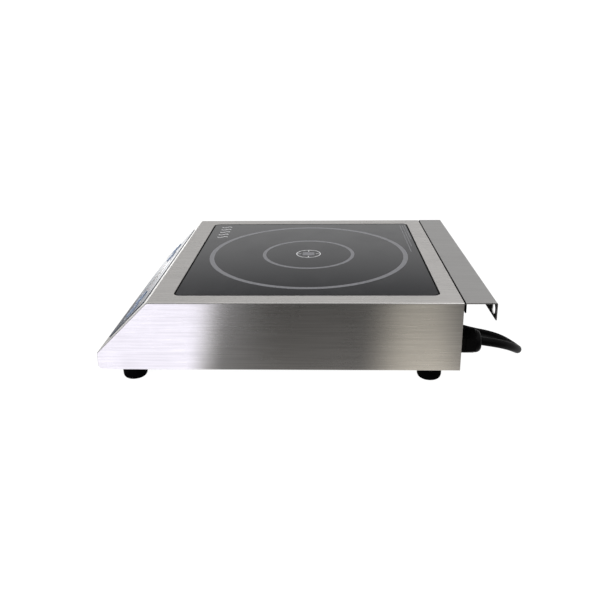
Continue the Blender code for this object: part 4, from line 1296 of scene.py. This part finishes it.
def floor_reflection(tree):
    """The floor as steel and glass mirror it: dark flags stand beside and before the hob, a painted shadow of
    the body lies under it, the floor is brighter before both its front corners, and a warm pale streak
    crosses the flag beside it."""
    at = coordinates(tree, "Object")
    beside = ramp(tree, at["X"], 0.10, 0.20)
    forward = calc(tree, "MULTIPLY_ADD", at["X"], 0.12, at["Y"])
    past_nose = ramp(tree, forward, -0.103, -0.057)
    right_flag = both(tree, beside, past_nose)
    before = ramp(tree, at["Y"], -0.26, -0.215, 1.0, 0.0)
    across = both(tree, ramp(tree, at["X"], -0.30, -0.10), ramp(tree, at["X"], 0.14, 0.20, 1.0, 0.0))
    front_flag = both(tree, before, across)
    # Under the hob the mirrored floor is dark too: a painted shadow of the body.
    within_x = calc(tree, "LESS_THAN", calc(tree, "ABSOLUTE", at["X"]), 0.160)
    within_y = calc(tree, "LESS_THAN", calc(tree, "ABSOLUTE", at["Y"]), 0.200)
    flags_and_shadow = calc(tree, "MAXIMUM", right_flag, front_flag)
    flags_and_shadow = calc(tree, "MAXIMUM", flags_and_shadow, both(tree, within_x, within_y))

    far_corner = both(tree, before, ramp(tree, at["X"], -0.36, -0.22, 1.0, 0.0))
    near_corner = both(tree, beside, calc(tree, "SUBTRACT", 1.0, past_nose))
    white = mix(tree, near_corner, grey(1.0), (0.955, 0.945, 1.08, 1))
    bright = calc(tree, "MULTIPLY_ADD", far_corner, 0.9, 1.0)
    bright = calc(tree, "MULTIPLY_ADD", near_corner, 0.62, bright)

    outward = ramp(tree, at["X"], 0.19, 0.37)
    shade = mix(tree, outward, grey(0.150, 0.03), grey(0.060, 0.03))
    shade = mix(tree, ramp(tree, forward, -0.07, 0.02, 1.0, 0.0), shade, grey(0.22))
    slanted = calc(tree, "MULTIPLY_ADD", at["X"], -0.156, at["Y"])
    from_middle = calc(tree, "ABSOLUTE", calc(tree, "ADD", slanted, -0.110))
    streak = mix(tree, outward, (0.72, 0.68, 0.60, 1), (0.42, 0.40, 0.35, 1))
    shade = mix(tree, ramp(tree, from_middle, 0.010, 0.074, 1.0, 0.0), shade, streak)
    values = {"Color": mix(tree, flags_and_shadow, white, shade), "Strength": bright}
    return add(tree, "ShaderNodeEmission", values).outputs[0]


def floor():
    """Pale floor: almost white where it is seen, matt where it is lit, flagged and with a painted shadow
    under the hob where it is mirrored.
    """
    half = 4.0
    corners = [(-half, -half, 0), (half, -half, 0), (half, half, 0), (-half, half, 0)]
    mesh = bpy.data.meshes.new("floor")
    mesh.from_pydata(corners, [], [(0, 1, 2, 3)])
    material = bpy.data.materials.new("pale_floor")
    material.use_nodes = True
    tree = material.node_tree
    shader = tree.nodes["Principled BSDF"]
    shader.inputs["Base Color"].default_value = grey(0.85)
    shader.inputs["Roughness"].default_value = 0.9
    matt = shader.outputs[0]
    white = add(tree, "ShaderNodeEmission", {"Color": grey(1.0), "Strength": 1.12}).outputs[0]
    seen = add(tree, "ShaderNodeMixShader", {0: 0.12, 1: white, 2: matt}).outputs[0]
    ray = add(tree, "ShaderNodeLightPath").outputs
    lit = {0: ray["Is Glossy Ray"], 1: matt, 2: floor_reflection(tree)}
    lit = add(tree, "ShaderNodeMixShader", lit).outputs[0]
    shown = add(tree, "ShaderNodeMixShader", {0: ray["Is Camera Ray"], 1: lit, 2: seen}).outputs[0]
    tree.links.new(shown, tree.nodes["Material Output"].inputs["Surface"])
    place_object("floor", mesh, FLAT, material)


def surroundings():
    """White to the eye. To everything else, a band of light near the horizon and one overhead, both
    dimmer towards +X, and a lamp high at the right rear."""
    world = bpy.data.worlds.new("studio")
    world.use_nodes = True
    tree = world.node_tree
    at = coordinates(tree, "Generated")
    horizon = ramp(tree, at["Z"], 0.27, 0.41, 0.72, 0.07)
    overhead = ramp(tree, at["Z"], 0.44, 0.66, 0.0, 0.85)
    light = both(tree, calc(tree, "ADD", horizon, overhead), ramp(tree, at["X"], -0.2, 0.5, 1.0, 0.22))
    lamp = both(tree, ramp(tree, at["X"], 0.15, 0.30), ramp(tree, at["Y"], 0.06, 0.20))
    lamp = both(tree, lamp, ramp(tree, at["Z"], 0.30, 0.60))
    light = calc(tree, "MULTIPLY_ADD", lamp, 1.1, light)
    soft = add(tree, "ShaderNodeBackground", {"Color": grey(1.0), "Strength": light}).outputs[0]
    white = add(tree, "ShaderNodeBackground", {"Color": grey(1.0), "Strength": 1.1}).outputs[0]
    ray = add(tree, "ShaderNodeLightPath").outputs
    shown = add(tree, "ShaderNodeMixShader", {0: ray["Is Camera Ray"], 1: soft, 2: white}).outputs[0]
    tree.links.new(shown, tree.nodes["World Output"].inputs["Surface"])
    bpy.context.scene.world = world


def studio():
    bpy.context.scene.view_settings.view_transform = "Standard"
    surroundings()
    floor()
    softbox("softbox_front", (1.5, -1.20, 0.55), (0.165, -0.3, 0.05), (1.5, 1.4), 30.0)
    softbox("softbox_top", (-0.2, -0.1, 1.7), (0, 0, 0), (1.2, 1.2), 8.0)


def main():
    camera()
    finish_packed_nodes()
    mains_lead()
    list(plug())
    coil_tie()
    housing_shell()
    rear_guard()
    screws()
    feet()
    glass_panel()
    glass_prints()
    controls()
    gland()
    studio()


main()
